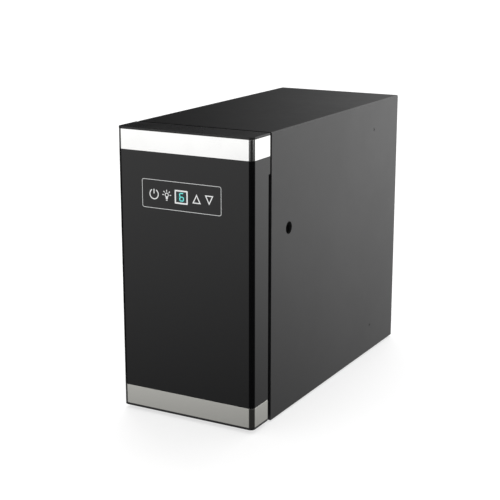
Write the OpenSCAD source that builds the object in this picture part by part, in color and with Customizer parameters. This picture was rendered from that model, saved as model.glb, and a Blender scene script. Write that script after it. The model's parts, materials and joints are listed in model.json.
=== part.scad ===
// Countertop milk cooler: an insulated steel tower with a full-height door, a touch panel,
// a thermoelectric cold side in the chamber and the hot side in a machine room behind it.
// X runs to the right, Y to the back and Z up. The origin is on the floor, under the middle.

/* [Cabinet] */
// Overall width
body_w = 200; // [180:5:260]
// Overall depth, from the door's front to the cover's back edge
body_d = 460; // [430:5:560]
// Overall height, feet included
body_h = 387; // [350:1:470]
// Thickness of the steel sheet
sheet_t = 1; // [0.8:0.1:1.5]
// Outside radius of the cover's top folds
fold_r = 2; // [1.8:0.1:4]
// Width of the cover's front lip, which the door's gasket closes on
lip_w = 28; // [26:1:30]
// Width of the cover's rear lip, which the rear panel is screwed to
rear_lip = 10; // [9:1:14]
// Width of the cover's lips under the base pan
bottom_lip = 30; // [26:1:36]
// How far the rear panel's outside lies in from the cover's back edge
rear_recess = 3; // [3:0.5:5]
// Clearance between pieces that drop into each other
fit = 0.2; // [0.1:0.05:0.3]

/* [Chamber] */
// Insulated wall from the cabinet's outside to the chamber
wall = 31; // [30:1:38]
// Thickness of the moulded liner
liner_t = 2; // [1.5:0.5:3]
// Radius of the chamber's long corners
liner_r = 8; // [5:1:12]
// Insulated wall from the chamber's back to the bulkhead
rear_wall = 40; // [36:1:50]
// Depth of the machine room, from the bulkhead to the cover's back edge
machine_d = 95; // [93:1:120]
// Height of the drip tray's rim above its floor
tray_h = 14; // [10:1:20]

/* [Hose port] */
// Bore of the milk hose port in the right side
port_r = 8.5; // [6:0.5:10]
// Distance from the door's front to the port's centre
port_in = 97.3; // [85:0.1:120]
// Height of the port's centre above the floor
port_z = 254.8; // [200:0.1:290]

/* [Door] */
// Thickness of the door
door_d = 44.5; // [42:0.5:50]
// Gap between the closed door and the cabinet
door_gap = 4.3; // [4:0.1:5]
// Height of the door's lower edge above the cabinet's underside
door_lift = 2.5; // [2:0.5:6]
// Radius of the door's two front corners, seen from above
corner_r = 6.3; // [5:0.1:12]
// Thickness of the gloss skin and of the trim bands
skin_t = 2.5; // [2:0.1:3]
// Thickness of the moulded frame behind them
frame_t = 2; // [1.5:0.1:2.5]
// Height of each trim band
band_h = 26.5; // [22:0.5:32]
// Thickness of the door's top and bottom caps
cap_t = 3; // [2:0.5:5]
// Gap between the skin and each band
seam = 0.2; // [0.1:0.1:0.5]
// Depth of the pull edge, cut into the rear of the right cheek
grip_setback = 4.1; // [3:0.1:7]
// Width of the pull edge, in from the right face
grip_w = 12.3; // [10:0.1:12.6]
// Distance from the door's top down to the pull edge
grip_drop = 52; // [40:1:120]
// Distance from the door's edge in to the gasket
gasket_in = 13; // [12.8:0.1:14]
// Width of the gasket
gasket_w = 14; // [12:0.5:14]
// Gap round the door's plug in the chamber mouth
plug_gap = 4; // [3.5:0.5:8]
// How far the plug reaches into the chamber
plug_reach = 6; // [4:1:7]

/* [Hinge] */
// Distance from the left face in to the hinge pin
pin_in_x = 12; // [11:0.5:14]
// Distance from the door's front back to the hinge pin
pin_in_y = 24; // [22:0.5:26]
// Radius of the hinge pins
pin_r = 3; // [2:0.1:3.4]
// Distance from the cabinet's top and underside to the hinge arms
arm_in = 9.5; // [9:0.5:12]
// Thickness of the hinge arms
arm_t = 2.5; // [2:0.1:3]
// Running clearance round the pins, shafts and pivots
run_fit = 0.05; // [0.02:0.01:0.08]

/* [Control panel] */
// Width of the panel's outline
panel_w = 117.8; // [110:0.1:130]
// Height of the panel's outline
panel_h = 37.5; // [30:0.5:45]
// Distance from the door's top down to the panel's centre
panel_drop = 83.8; // [75:0.1:110]
// Distance from the door's middle left to the panel's centre
panel_left = 4; // [0:0.5:10]
// Width of the icons' lines
stroke = 1.3; // [1:0.1:2]
// Depth of the inlaid legends
inlay_t = 0.4; // [0.2:0.1:0.8]

/* [Cooling] */
// Height of the thermoelectric module above the floor
peltier_z = 210; // [190:1:230]
// Thickness of the thermoelectric module
peltier_t = 3.8; // [3:0.1:5]
// Side of the square cold fan
cold_fan = 80; // [60:10:80]
// Side of the square hot fan
hot_fan = 92; // [80:12:92]
// Depth of the cold sink's fins
cold_fin = 18; // [12:1:20]
// Depth of the hot sink's fins
hot_fin = 47; // [35:1:50]
// Thickness of the fins
fin_t = 1.5; // [1:0.1:2]

/* [Mains] */
// Distance from the middle to the mains inlet's centre
inlet_x = 58; // [50:1:62]
// Distance from the middle to the rocker switch's centre
rocker_x = 22; // [12:1:26]
// Height of the inlet and the rocker above the floor
inlet_z = 80; // [76:1:90]
// Tilt of the rocker each way from its middle
rocker_tilt = 9; // [6:1:10]

/* [Feet and screws] */
// Height of the rubber feet
foot_h = 3; // [3:0.5:8]
// Radius of the rubber feet
foot_r = 9; // [7:1:12]
// Distance of the cover screws from the top and from the underside
cover_screw_in = 41; // [30:0.5:60]
// Radius of the screws' shanks
screw_r = 1.5; // [1.2:0.1:1.6]

/* [Hidden] */
$fn = 64;
// Overshoot of a cut past the face it opens
over = 1;

// Outer faces
side = body_w / 2;
front = -body_d / 2;
back = body_d / 2;
base = foot_h;
roof = body_h;

// Planes from front to back
door_back = front + door_d;
face = door_back + door_gap;
face_in = face + sheet_t;
bulk_front = back - machine_d;
bulk_back = bulk_front + sheet_t;
room_back = bulk_front - rear_wall;
rear_out = back - rear_recess;
rear_in = rear_out - sheet_t;
pan_bot = base + sheet_t;
pan_top = pan_bot + sheet_t;

// Chamber
room_x = side - wall;
room_lo = base + wall;
room_hi = roof - wall;
lip_x = side - lip_w;
// How far the liner's flange reaches behind the cover's lips, and so its width
flange_hold = 6;
flange_w = wall - lip_w + flange_hold;
skin_x = side - sheet_t - fit;
skin_hi = roof - sheet_t - fit;

// Cold side, from the chamber's back wall forwards
cold_base_t = 5;
cold_sink_front = room_back - cold_base_t - cold_fin;
cold_fan_d = 15;
cold_fan_y = cold_sink_front - cold_fan_d - 3;
baffle_t = 1.5;
baffle_y = cold_fan_y - 7;
baffle_x = room_x - 7;
baffle_lo = peltier_z - 70;
baffle_hi = peltier_z + 70;
cold_sink_x = baffle_x - 12;
cold_sink_z = 60;
block_half = 20;
peltier_half = 20;
peltier_y = bulk_back - peltier_t;

// Hot side, from the bulkhead backwards
hot_base_t = 8;
hot_sink_x = 60;
hot_sink_z = 65;
hot_fan_d = 25;
hot_fan_y = rear_in - hot_fan_d;
// Height of the holes that the module's leads pass the bulkhead through
lead_hole_z = peltier_z - hot_sink_z - 13;

// Fans: the rotor's tip and hub, the fixing holes' pitch and the shaft
cold_tip_r = cold_fan / 2 - 3;
hot_tip_r = hot_fan / 2 - 3;
fan_hole_r = 2.15;
fan_hole_in = 4.5;
hub_t = 3;
shaft_r = 1.5;

// Hose bush: how much narrower than the port it is, and its gap to each sheet
bush_step = 0.3;
bush_gap = 0.3;

// Feet, screws and their heads
foot_x = side - 15;
foot_ys = [face + 25, back - 25];
hole_r = screw_r + 0.1;
head_r = 2.8;
rear_screw_x = side - sheet_t - rear_lip / 2;
rear_screw_zs = [60, roof / 2, roof - 50];
edge_screw_x = side / 2;
edge_screw_zs = [pan_top + 4.5, roof - sheet_t - rear_lip / 2];
cover_screw_y = bulk_back + 5;
cover_screw_zs = [base + cover_screw_in, roof - cover_screw_in];

// Door heights
door_bot = base + door_lift;
low_lo = door_bot + cap_t;
low_hi = low_lo + band_h;
up_hi = roof - cap_t;
up_lo = up_hi - band_h;
grip_top = roof - grip_drop;
door_inner = door_back - liner_t;
plug_x = room_x - plug_gap;
plug_lo = room_lo + plug_gap;
plug_hi = room_hi - plug_gap;
plug_back = face + plug_reach;

// Lamp on the chamber's ceiling, near the door, and the probe on its back wall
lamp_x = 22;
lamp_y = plug_back + 8;
lamp_d = 20;
lamp_t = 6;
probe_x = 45;
probe_z = room_hi - 26;

// Gasket layers
seal_base_t = 1.2;
seal_slot_t = 1.7;
magnet_gap = 0.1;

// Hinge
pin_x = -side + pin_in_x;
pin_y = front + pin_in_y;
arm_w = 12;
arm_zs = [base + arm_in, roof - arm_in];
pocket_h = arm_t + 2;
block_h = 16;
hinge_screw_xs = [pin_x + 20, pin_x + 33];
hinge_screw_dz = 4.3;

// Control panel
panel_x = -panel_left;
panel_z = roof - panel_drop;
key_power = panel_x - 40.8;
key_lamp = panel_x - 21.6;
key_digit = panel_x + 0.1;
key_up = panel_x + 22.9;
key_down = panel_x + 41.3;
icon_z = panel_z - 0.2;
panel_line = 0.55;
box_w = 19.4;
box_h = 17.9;
box_line = 1.9;
window_w = box_w - 2 * box_line;
window_h = box_h - 2 * box_line;
window_z = panel_z - 0.5;
window_t = 1.2;
digit_w = 6.7;
digit_h = 11.2;
segment_w = 1.3;
segment_t = 0.25;
board_y = front + skin_t + 4;
board_t = 1.6;
tray_x = 63;
tray_z = 23;
tray_y = front + skin_t + frame_t;
tray_d = 15;
tray_wall = 1.5;

// Power supply in the machine room
psu_x = [-70, 52];
psu_y = [bulk_back + 18, bulk_back + 78];
psu_z = pan_top + 8;
psu_top = psu_z + board_t;
terminal_x = [34, 52];
terminal_top = psu_top + 12;
// Wire holes of the terminal block: the mains pair and the module's pair
mains_hole_x = 47;
dc_hole_x = 39.5;
mains_hole_ys = [psu_y[0] + 14, psu_y[0] + 22];
dc_hole_ys = [psu_y[0] + 32, psu_y[0] + 42];
wire_r = 1.2;
wire_sides = 10;

// Mains inlet and rocker, seen from behind
inlet_half = [13.5, 10];
inlet_flange = [15.5, 12];
inlet_depth = 19;
inlet_front = rear_out + 2;
// Its three blades: distance across, distance up
blades = [[-7, 0], [7, 0], [0, 4]];
cavity_half = [12, 8];
cavity_depth = 18;
rocker_flange = [8.5, 13];
rocker_body = [6.8, 11.5];
rocker_window = [5.3, 9.8];
rocker_half = [5, 8.6];
rocker_pivot_y = rear_out - 4;
rocker_pivot_r = 1.5;
rocker_back = rear_out - 14;

// ---- Shapes that repeat ----

// A box between two opposite corners
module block(lo, hi) {
    translate(lo) cube(hi - lo);
}

// An X-Z outline, extruded from y0 to y1
module along_y(y0, y1) {
    translate([0, y1, 0]) rotate([90, 0, 0]) linear_extrude(y1 - y0) children();
}

// A Y-Z outline, extruded from x0 to x1
module along_x(x0, x1) {
    translate([x0, 0, 0]) rotate([90, 0, 90]) linear_extrude(x1 - x0) children();
}

// An X-Y outline, extruded from z0 to z1
module slab(z0, z1) {
    translate([0, 0, z0]) linear_extrude(z1 - z0) children();
}

module rod_x(x0, x1, r, y, z) {
    translate([x0, y, z]) rotate([0, 90, 0]) cylinder(h = x1 - x0, r = r);
}

module rod_y(y0, y1, r, x, z) {
    translate([x, y1, z]) rotate([90, 0, 0]) cylinder(h = y1 - y0, r = r);
}

module rod_z(z0, z1, r, x, y) {
    translate([x, y, z0]) cylinder(h = z1 - z0, r = r);
}

// A rectangle with round corners
module rounded(lo, hi, r) {
    translate([lo.x + r, lo.y]) square([hi.x - lo.x - 2 * r, hi.y - lo.y]);
    translate([lo.x, lo.y + r]) square([hi.x - lo.x, hi.y - lo.y - 2 * r]);
    for (x = [lo.x + r, hi.x - r], y = [lo.y + r, hi.y - r])
        translate([x, y]) circle(r);
}

// An upright slot with round ends, about the point (x, y)
module slot(x, y, width, height) {
    straight = height - width;
    translate([x - width / 2, y - straight / 2]) square([width, straight]);
    for (s = [-1, 1]) translate([x, y + s * straight / 2]) circle(width / 2);
}

// A straight round wire between two points
module link(a, b, r) {
    run = b - a;
    translate(a) rotate([0, acos(run.z / norm(run)), atan2(run.y, run.x)]) cylinder(h = norm(run), r = r);
}

// The way that a route runs at its point i, halfway between the two stretches that meet there
function unit(v) = v / norm(v);
function stretch(route, i) = unit(route[i + 1] - route[i]);
function way(route, i) =
    i == 0 ? stretch(route, 0)
    : i == len(route) - 1 ? stretch(route, i - 1)
    : unit(stretch(route, i - 1) + stretch(route, i));

// A ring of points round the route's point i, square to its way
function ring(route, i, r) =
    let (w = way(route, i), u = unit(cross([0.36, 0.48, 0.8], w)), v = cross(w, u))
    [for (k = [0 : wire_sides - 1])
        route[i] + r * (cos(k * 360 / wire_sides) * u + sin(k * 360 / wire_sides) * v)];

// A thin wire along a route, one ring of points at each bend
module wire(route, r) {
    n = wire_sides;
    last = len(route) - 1;
    polyhedron(
        points = [for (i = [0 : last]) each ring(route, i, r)],
        faces = [
            [for (k = [0 : n - 1]) k],
            for (i = [0 : last - 1], k = [0 : n - 1])
                [i * n + k, (i + 1) * n + k, i * n + (k + 1) % n],
            for (i = [0 : last - 1], k = [0 : n - 1])
                [(i + 1) * n + k, (i + 1) * n + (k + 1) % n, i * n + (k + 1) % n],
            [for (k = [n - 1 : -1 : 0]) last * n + k],
        ]);
}

// ---- Cabinet ----

// The cabinet's outline seen from the front, square below and folded at the top
module fold_outline(inset) {
    w = side - inset;
    h = roof - inset;
    r = fold_r - inset;
    translate([-w, base]) square([2 * w, h - r - base]);
    translate([r - w, base]) square([2 * w - 2 * r, h - base]);
    for (x = [r - w, w - r]) translate([x, h - r]) circle(r);
}

module countersink(s, z) {
    translate([s * (side + 0.01), cover_screw_y, z])
        rotate([0, -s * 90, 0]) cylinder(h = sheet_t + 0.02, r1 = head_r - 0.4, r2 = hole_r);
}

module outer_cover() color("dimgray") difference() {
    union() {
        along_y(face, back) difference() {
            fold_outline(0);
            fold_outline(sheet_t);
        }
        along_y(face, face_in) difference() {
            fold_outline(0);
            translate([-lip_x, base - over]) square([2 * lip_x, roof - lip_w - base + over]);
        }
        along_y(rear_in - sheet_t, rear_in) difference() {
            fold_outline(0);
            translate([rear_lip + sheet_t - side, base - over])
                square([2 * (side - rear_lip - sheet_t), roof - rear_lip - sheet_t - base + over]);
            translate([sheet_t - side, base - over]) square([2 * (side - sheet_t), 2 * sheet_t + fit + over]);
        }
        for (s = [-1, 1])
            block([s > 0 ? side - bottom_lip : -side, face, base],
                  [s > 0 ? side : bottom_lip - side, back, pan_bot]);
    }
    rod_x(side - sheet_t - over, side + over, port_r, front + port_in, port_z);
    for (s = [-1, 1], z = cover_screw_zs) countersink(s, z);
    for (x = [-foot_x, foot_x], y = foot_ys) rod_z(base - over, pan_bot + over, hole_r, x, y);
    for (x = [-rear_screw_x, rear_screw_x], z = rear_screw_zs)
        rod_y(rear_in - sheet_t - over, rear_in + over, hole_r, x, z);
    for (x = [-edge_screw_x, edge_screw_x])
        rod_y(rear_in - sheet_t - over, rear_in + over, hole_r, x, edge_screw_zs[1]);
    for (x = hinge_screw_xs)
        rod_y(face - over, face_in + over, hole_r, x, arm_zs[1] + hinge_screw_dz);
}

module base_pan() color("gray") difference() {
    union() {
        block([-skin_x, face_in, pan_bot], [skin_x, rear_in, pan_top]);
        block([fit - lip_x, face, pan_bot], [lip_x - fit, face_in, base + lip_w]);
        block([-side + rear_lip + sheet_t + fit, rear_in - sheet_t, pan_bot],
              [side - rear_lip - sheet_t - fit, rear_in, pan_top + 9]);
    }
    for (x = [-foot_x, foot_x], y = foot_ys) rod_z(pan_bot - over, pan_top + over, hole_r, x, y);
    for (x = hinge_screw_xs)
        rod_y(face - over, face_in + over, hole_r, x, arm_zs[0] - hinge_screw_dz);
    for (x = [-edge_screw_x, edge_screw_x])
        rod_y(rear_in - sheet_t - over, rear_in + over, hole_r, x, edge_screw_zs[0]);
    // Air slots under the machine room
    for (i = [-4 : 4]) slab(pan_bot - over, pan_top + over) slot(i * 14, bulk_back + 10, 4, 12);
}

module bulkhead() color("silver") difference() {
    union() {
        along_y(bulk_front, bulk_back) rounded([-skin_x, pan_top], [skin_x, skin_hi], fold_r - sheet_t + fit);
        for (s = [-1, 1])
            block([s > 0 ? skin_x - sheet_t : -skin_x, bulk_front, pan_top + 10],
                  [s > 0 ? skin_x : sheet_t - skin_x, bulk_back + 10, skin_hi - 10]);
    }
    block([-block_half - over, bulk_front - over, peltier_z - block_half - over],
          [block_half + over, bulk_back + over, peltier_z + block_half + over]);
    for (s = [-1, 1], z = cover_screw_zs)
        rod_x(s > 0 ? skin_x - 2 * over : -skin_x - over, s > 0 ? skin_x + over : 2 * over - skin_x,
              hole_r, cover_screw_y, z);
    for (x = [-8, 8]) rod_y(bulk_front - over, bulk_back + over, 3, x, lead_hole_z);
}
module vent_row(z) {
    for (i = [-6 : 6]) along_y(rear_in - over, rear_out + over) slot(i * 12, z, 4, 18);
}

// The four corner holes of a fan of the given side
function fan_corners(size) =
    let (h = size / 2 - fan_hole_in) [[-h, -h], [h, -h], [-h, h], [h, h]];

module rear_panel() color("gray") difference() {
    along_y(rear_in, rear_out)
        rounded([-skin_x, pan_bot + fit], [skin_x, skin_hi], fold_r - sheet_t + fit);
    rod_y(rear_in - over, rear_out + over, hot_tip_r + 1, 0, peltier_z);
    for (c = fan_corners(hot_fan))
        rod_y(rear_in - over, rear_out + over, fan_hole_r, c.x, peltier_z + c.y);
    for (x = [-rear_screw_x, rear_screw_x], z = rear_screw_zs)
        rod_y(rear_in - over, rear_out + over, hole_r, x, z);
    for (x = [-edge_screw_x, edge_screw_x], z = edge_screw_zs)
        rod_y(rear_in - over, rear_out + over, hole_r, x, z);
    block([inlet_x - inlet_half.x - fit, rear_in - over, inlet_z - inlet_half.y - fit],
          [inlet_x + inlet_half.x + fit, rear_out + over, inlet_z + inlet_half.y + fit]);
    block([rocker_x - rocker_body.x - fit, rear_in - over, inlet_z - rocker_body.y - fit],
          [rocker_x + rocker_body.x + fit, rear_out + over, inlet_z + rocker_body.y + fit]);
    vent_row(peltier_z + hot_fan / 2 + 30);
    vent_row(peltier_z + hot_fan / 2 + 54);
    vent_row(inlet_z - 42);
}

// The chamber's outline seen from the front, grown by the given amount
module room_outline(grow) {
    rounded([-room_x - grow, room_lo - grow], [room_x + grow, room_hi + grow], liner_r + grow);
}

// Routes of the thermoelectric module's two leads, s = -1 and 1, down to their bulkhead holes
function lead_route(s) = [
    [s * 8, peltier_y + 1.6, peltier_z - peltier_half - 1.5],
    [s * 8, bulk_front - 2.4, lead_hole_z + 6],
    [s * 8, bulk_front - 0.6, lead_hole_z + 1],
    [s * 8, bulk_back + 6, lead_hole_z],
];

module insulation() color("lightyellow") difference() {
    intersection() {
        along_y(face_in, bulk_front) fold_outline(sheet_t);
        block([-side, face_in, pan_top], [side, bulk_front, roof]);
    }
    along_y(face_in - over, face_in + liner_t) room_outline(flange_w);
    along_y(face_in, room_back + liner_t) room_outline(liner_t);
    rod_x(room_x, side, port_r + liner_t, front + port_in, port_z);
    block([-block_half, room_back, peltier_z - block_half],
          [block_half, bulk_front + over, peltier_z + block_half]);
    rod_y(room_back, bulk_front + over, 2, probe_x, probe_z);
    for (s = [-1, 1])
        block([s * 8 - 2, peltier_y - 1.2, lead_hole_z - 3], [s * 8 + 2, bulk_front + over, peltier_z]);
    for (x = hinge_screw_xs, s = [0, 1])
        rod_y(face_in - over, face_in + 11, hole_r + 0.3, x,
              s > 0 ? arm_zs[1] + hinge_screw_dz : arm_zs[0] - hinge_screw_dz);
    for (x = [-foot_x, foot_x]) rod_z(pan_top - over, pan_top + 6, hole_r + 0.3, x, foot_ys[0]);
}

module inner_liner() color("whitesmoke") difference() {
    union() {
        along_y(face_in, face_in + liner_t) room_outline(flange_w);
        along_y(face_in, room_back + liner_t) room_outline(liner_t);
    }
    along_y(face_in - over, room_back) room_outline(0);
    block([-block_half - fit, room_back - over, peltier_z - block_half - fit],
          [block_half + fit, room_back + liner_t + over, peltier_z + block_half + fit]);
    rod_x(room_x - over, side, port_r, front + port_in, port_z);
    rod_y(room_back - over, room_back + liner_t + over, 2, probe_x, probe_z);
}

// A sleeve foamed in between the liner and the cover, a little narrower than their holes
module hose_bush() color("black") difference() {
    rod_x(room_x + liner_t + bush_gap, side - sheet_t - bush_gap, port_r + liner_t, front + port_in, port_z);
    rod_x(room_x, side, port_r - bush_step, front + port_in, port_z);
}

module drip_tray() color("darkgray") {
    gap = 3;
    lo = [gap - room_x, plug_back + 2, room_lo];
    hi = [room_x - gap, baffle_y - 1.5, room_lo + tray_h];
    difference() {
        intersection() {
            slab(lo.z, hi.z) rounded([lo.x, lo.y], [hi.x, hi.y], 6);
            along_y(lo.y, hi.y) room_outline(-0.3);
        }
        intersection() {
            slab(lo.z, hi.z + over) rounded([lo.x + 2, lo.y + 2], [hi.x - 2, hi.y - 2], 4);
            along_y(lo.y, hi.y) room_outline(-2.3);
        }
    }
}

module lamp_housing() color("white") difference() {
    slab(room_hi - lamp_t, room_hi) rounded([-lamp_x, lamp_y], [lamp_x, lamp_y + lamp_d], 3);
    slab(room_hi - lamp_t - over, room_hi - 2)
        rounded([2 - lamp_x, lamp_y + 2], [lamp_x - 2, lamp_y + lamp_d - 2], 2);
}

module lamp_lens() color("white", 0.6)
    slab(room_hi - lamp_t - 1, room_hi - lamp_t + 2)
        rounded([2 + fit - lamp_x, lamp_y + 2 + fit], [lamp_x - 2 - fit, lamp_y + lamp_d - 2 - fit], 2 - fit);

module temperature_probe() color("silver") union() {
    rod_y(room_back - 38, room_back - 2, 2.5, probe_x, probe_z);
    rod_y(room_back - 2, room_back, 6, probe_x, probe_z);
    rod_y(room_back - 2, room_back + rear_wall, 1.8, probe_x, probe_z);
}

// ---- Cold side ----

module cold_block() color("silver")
    block([-block_half, room_back, peltier_z - block_half], [block_half, peltier_y, peltier_z + block_half]);

module peltier_module() color("white") union() {
    block([-peltier_half, peltier_y, peltier_z - peltier_half],
          [peltier_half, peltier_y + 0.8, peltier_z + peltier_half]);
    block([1 - peltier_half, peltier_y, peltier_z - peltier_half + 1],
          [peltier_half - 1, bulk_back, peltier_z + peltier_half - 1]);
    block([-peltier_half, bulk_back - 0.8, peltier_z - peltier_half],
          [peltier_half, bulk_back, peltier_z + peltier_half]);
}

// A finned sink: a base between y0 and y1 and fins from there to y2
module sink(half_x, half_z, y0, y1, y2, pitch) {
    block([-half_x, min(y0, y1), peltier_z - half_z], [half_x, max(y0, y1), peltier_z + half_z]);
    count = floor((2 * half_x - fin_t) / pitch);
    step = (2 * half_x - fin_t) / count;
    inner = y1 + sign(y1 - y2) * 0.5;
    for (i = [0 : count])
        block([i * step - half_x, min(inner, y2), peltier_z - half_z],
              [i * step - half_x + fin_t, max(inner, y2), peltier_z + half_z]);
}

module cold_sink() color("silver")
    sink(cold_sink_x, cold_sink_z, room_back, room_back - cold_base_t, cold_sink_front, 6);

module hot_sink() color("silver")
    sink(hot_sink_x, hot_sink_z, bulk_back, bulk_back + hot_base_t, bulk_back + hot_base_t + hot_fin, 7);

// A fan's frame, its motor plate at z = 0 and its open side at z = depth
module fan_frame(size, depth, tip_r) {
    difference() {
        union() {
            difference() {
                linear_extrude(depth) rounded([-size / 2, -size / 2], [size / 2, size / 2], 4);
                translate([0, 0, -over]) cylinder(h = depth + 2 * over, r = tip_r + 1);
            }
            cylinder(h = hub_t, r = tip_r * 0.42);
            cylinder(h = depth - 4, r = 3.5);
            for (a = [20 : 90 : 290]) rotate(a) translate([0, -1.5, 0]) cube([tip_r + 2, 3, hub_t]);
        }
        translate([0, 0, over]) cylinder(h = depth, r = shaft_r + run_fit);
        for (c = fan_corners(size))
            translate([c.x, c.y, -over]) cylinder(h = depth + 2 * over, r = fan_hole_r);
    }
}

// A fan's rotor in the same frame: hub cup, shaft and pitched blades
module fan_rotor(depth, tip_r, blades) {
    hub_r = tip_r * 0.4;
    lo = hub_t + 0.7;
    hi = depth - 1;
    difference() {
        union() {
            translate([0, 0, lo]) cylinder(h = hi - lo, r = hub_r);
            intersection() {
                translate([0, 0, lo]) cylinder(h = hi - lo, r = tip_r);
                for (i = [0 : blades - 1])
                    rotate(i * 360 / blades) translate([0, 0, (lo + hi) / 2]) rotate([38, 0, 0])
                        translate([hub_r - 2, -hi, -0.8]) cube([tip_r, 2 * hi, 1.6]);
            }
        }
        translate([0, 0, lo - over]) cylinder(h = hi - lo - 0.8, r = hub_r - 1.6);
    }
    translate([0, 0, over + 0.5]) cylinder(h = hi - over - 1, r = shaft_r);
}

// Turns a fan to blow along Y from the plane y, about the module's axis
module fan_place(y) {
    translate([0, y, peltier_z]) rotate([-90, 0, 0]) children();
}

module cold_fan_frame() color("black") fan_place(cold_fan_y) fan_frame(cold_fan, cold_fan_d, cold_tip_r);
module cold_fan_rotor() color("black") fan_place(cold_fan_y) fan_rotor(cold_fan_d, cold_tip_r, 7);
module hot_fan_frame() color("black") fan_place(hot_fan_y) fan_frame(hot_fan, hot_fan_d, hot_tip_r);
module hot_fan_rotor() color("black") fan_place(hot_fan_y) fan_rotor(hot_fan_d, hot_tip_r, 7);

module air_baffle() color("whitesmoke") {
    difference() {
        along_y(baffle_y, room_back) rounded([-baffle_x, baffle_lo], [baffle_x, baffle_hi], 5);
        along_y(baffle_y + baffle_t, room_back + over)
            rounded([baffle_t - baffle_x, baffle_lo + baffle_t], [baffle_x - baffle_t, baffle_hi - baffle_t], 3.5);
        rod_y(baffle_y - over, baffle_y + baffle_t + over, cold_tip_r, 0, peltier_z);
        // Outlets in the top and bottom walls
        for (i = [-3 : 3], z = [baffle_lo, baffle_hi])
            block([i * 12 - 4, cold_sink_front, z - 2], [i * 12 + 4, room_back - 4, z + 2]);
    }
    // Intake bars
    for (i = [-3 : 3])
        block([-sqrt(pow(cold_tip_r, 2) - pow(i * 10, 2)) - 1, baffle_y, peltier_z + i * 10 - 1],
              [sqrt(pow(cold_tip_r, 2) - pow(i * 10, 2)) + 1, baffle_y + baffle_t, peltier_z + i * 10 + 1]);
    // Posts that the cold fan pushes on to
    for (c = fan_corners(cold_fan)) {
        rod_y(baffle_y + 0.5, cold_fan_y, 3.4, c.x, peltier_z + c.y);
        rod_y(cold_fan_y - 0.5, cold_fan_y + 9, fan_hole_r - 0.1, c.x, peltier_z + c.y);
    }
}

module fan_guard() color("silver") {
    guard_r = 0.7;
    spoke_y = rear_out + guard_r + 0.1;
    ring_y = spoke_y + guard_r * 1.6;
    for (r = [12 : 10 : hot_tip_r])
        translate([0, ring_y, peltier_z]) rotate([90, 0, 0])
            rotate_extrude() translate([r, 0]) circle(guard_r);
    for (c = fan_corners(hot_fan)) {
        unit = c / norm(c);
        link([unit.x * 11, spoke_y, peltier_z + unit.y * 11],
             [unit.x * (norm(c) - 3), spoke_y, peltier_z + unit.y * (norm(c) - 3)], guard_r);
        difference() {
            rod_y(rear_out, rear_out + 0.8, 4.5, c.x, peltier_z + c.y);
            rod_y(rear_out - over, rear_out + 2, fan_hole_r, c.x, peltier_z + c.y);
        }
    }
}

// ---- Power supply ----

module psu_board() color("darkgreen") difference() {
    block([psu_x[0], psu_y[0], psu_z], [psu_x[1], psu_y[1], psu_top]);
    for (x = [psu_x[0] + 5, psu_x[1] - 5], y = [psu_y[0] + 5, psu_y[1] - 5])
        rod_z(psu_z - over, psu_top + over, hole_r, x, y);
}

module psu_standoffs() color("gold")
    for (x = [psu_x[0] + 5, psu_x[1] - 5], y = [psu_y[0] + 5, psu_y[1] - 5]) {
        rod_z(pan_top, psu_z, 3, x, y);
        rod_z(psu_z - 0.5, psu_top + 2, screw_r, x, y);
    }

module psu_transformer() color("goldenrod") {
    x = psu_x[0] + 50;
    y = (psu_y[0] + psu_y[1]) / 2;
    block([x - 16, y - 8, psu_top + 3], [x + 16, y + 8, psu_top + 29]);
    block([x - 11, y - 14, psu_top + 7], [x + 11, y + 14, psu_top + 25]);
    block([x - 13, y - 15, psu_top], [x + 13, y + 15, psu_top + 4]);
}

module psu_capacitors() color("midnightblue") {
    for (dy = [18, 40]) rod_z(psu_top, psu_top + 28, 9, psu_x[0] + 18, psu_y[0] + dy);
    for (dy = [14, 28, 42]) rod_z(psu_top, psu_top + 16, 5, psu_x[0] + 77, psu_y[0] + dy);
}

module psu_heatsink() color("silver") {
    x = psu_x[0] + 88;
    block([x, psu_y[0] + 8, psu_top], [x + 3, psu_y[1] - 8, psu_top + 26]);
    for (dy = [8 : 8 : 48]) block([x + 2, psu_y[0] + dy, psu_top], [x + 11, psu_y[0] + dy + 2, psu_top + 26]);
}

module psu_terminals() color("green") difference() {
    block([terminal_x[0], psu_y[0] + 8, psu_top], [terminal_x[1] - 1, psu_y[1] - 12, terminal_top]);
    for (y = mains_hole_ys) rod_z(terminal_top - 6, terminal_top + over, wire_r + 0.4, mains_hole_x, y);
    for (y = dc_hole_ys) rod_z(terminal_top - 6, terminal_top + over, wire_r + 0.4, dc_hole_x, y);
}

module mains_leads() color("firebrick") {
    tab_y = rear_out - inlet_depth - 8.2;
    bottom = terminal_top - 4;
    // From the inlet's line blade to the rocker, and from the rocker to the supply
    wire([[inlet_x - 7, tab_y, inlet_z], [inlet_x - 7, tab_y - 2, inlet_z + 4],
          [rocker_x, tab_y - 2, inlet_z + 4], [rocker_x, rocker_back - 3.6, inlet_z + 4]], wire_r);
    wire([[rocker_x, rocker_back - 3.6, inlet_z - 4], [rocker_x, tab_y - 8, inlet_z - 8],
          [mains_hole_x, mains_hole_ys[0] + 8, terminal_top + 30],
          [mains_hole_x, mains_hole_ys[0], terminal_top + 14], [mains_hole_x, mains_hole_ys[0], bottom]],
         wire_r);
    // From the neutral blade to the supply
    wire([[inlet_x + 7, tab_y, inlet_z], [inlet_x + 7, tab_y - 2, inlet_z - 4],
          [inlet_x + 7, tab_y - 4, terminal_top + 24], [mains_hole_x, mains_hole_ys[1], terminal_top + 8],
          [mains_hole_x, mains_hole_ys[1], bottom]], wire_r);
    // From the earth blade to the base pan
    wire([[inlet_x, tab_y, inlet_z + 4], [inlet_x + 22, tab_y - 2, inlet_z + 4],
          [inlet_x + 27, tab_y - 2, pan_top + 30], [inlet_x + 27, tab_y - 2, pan_top + 1.4]], wire_r);
}

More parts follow.
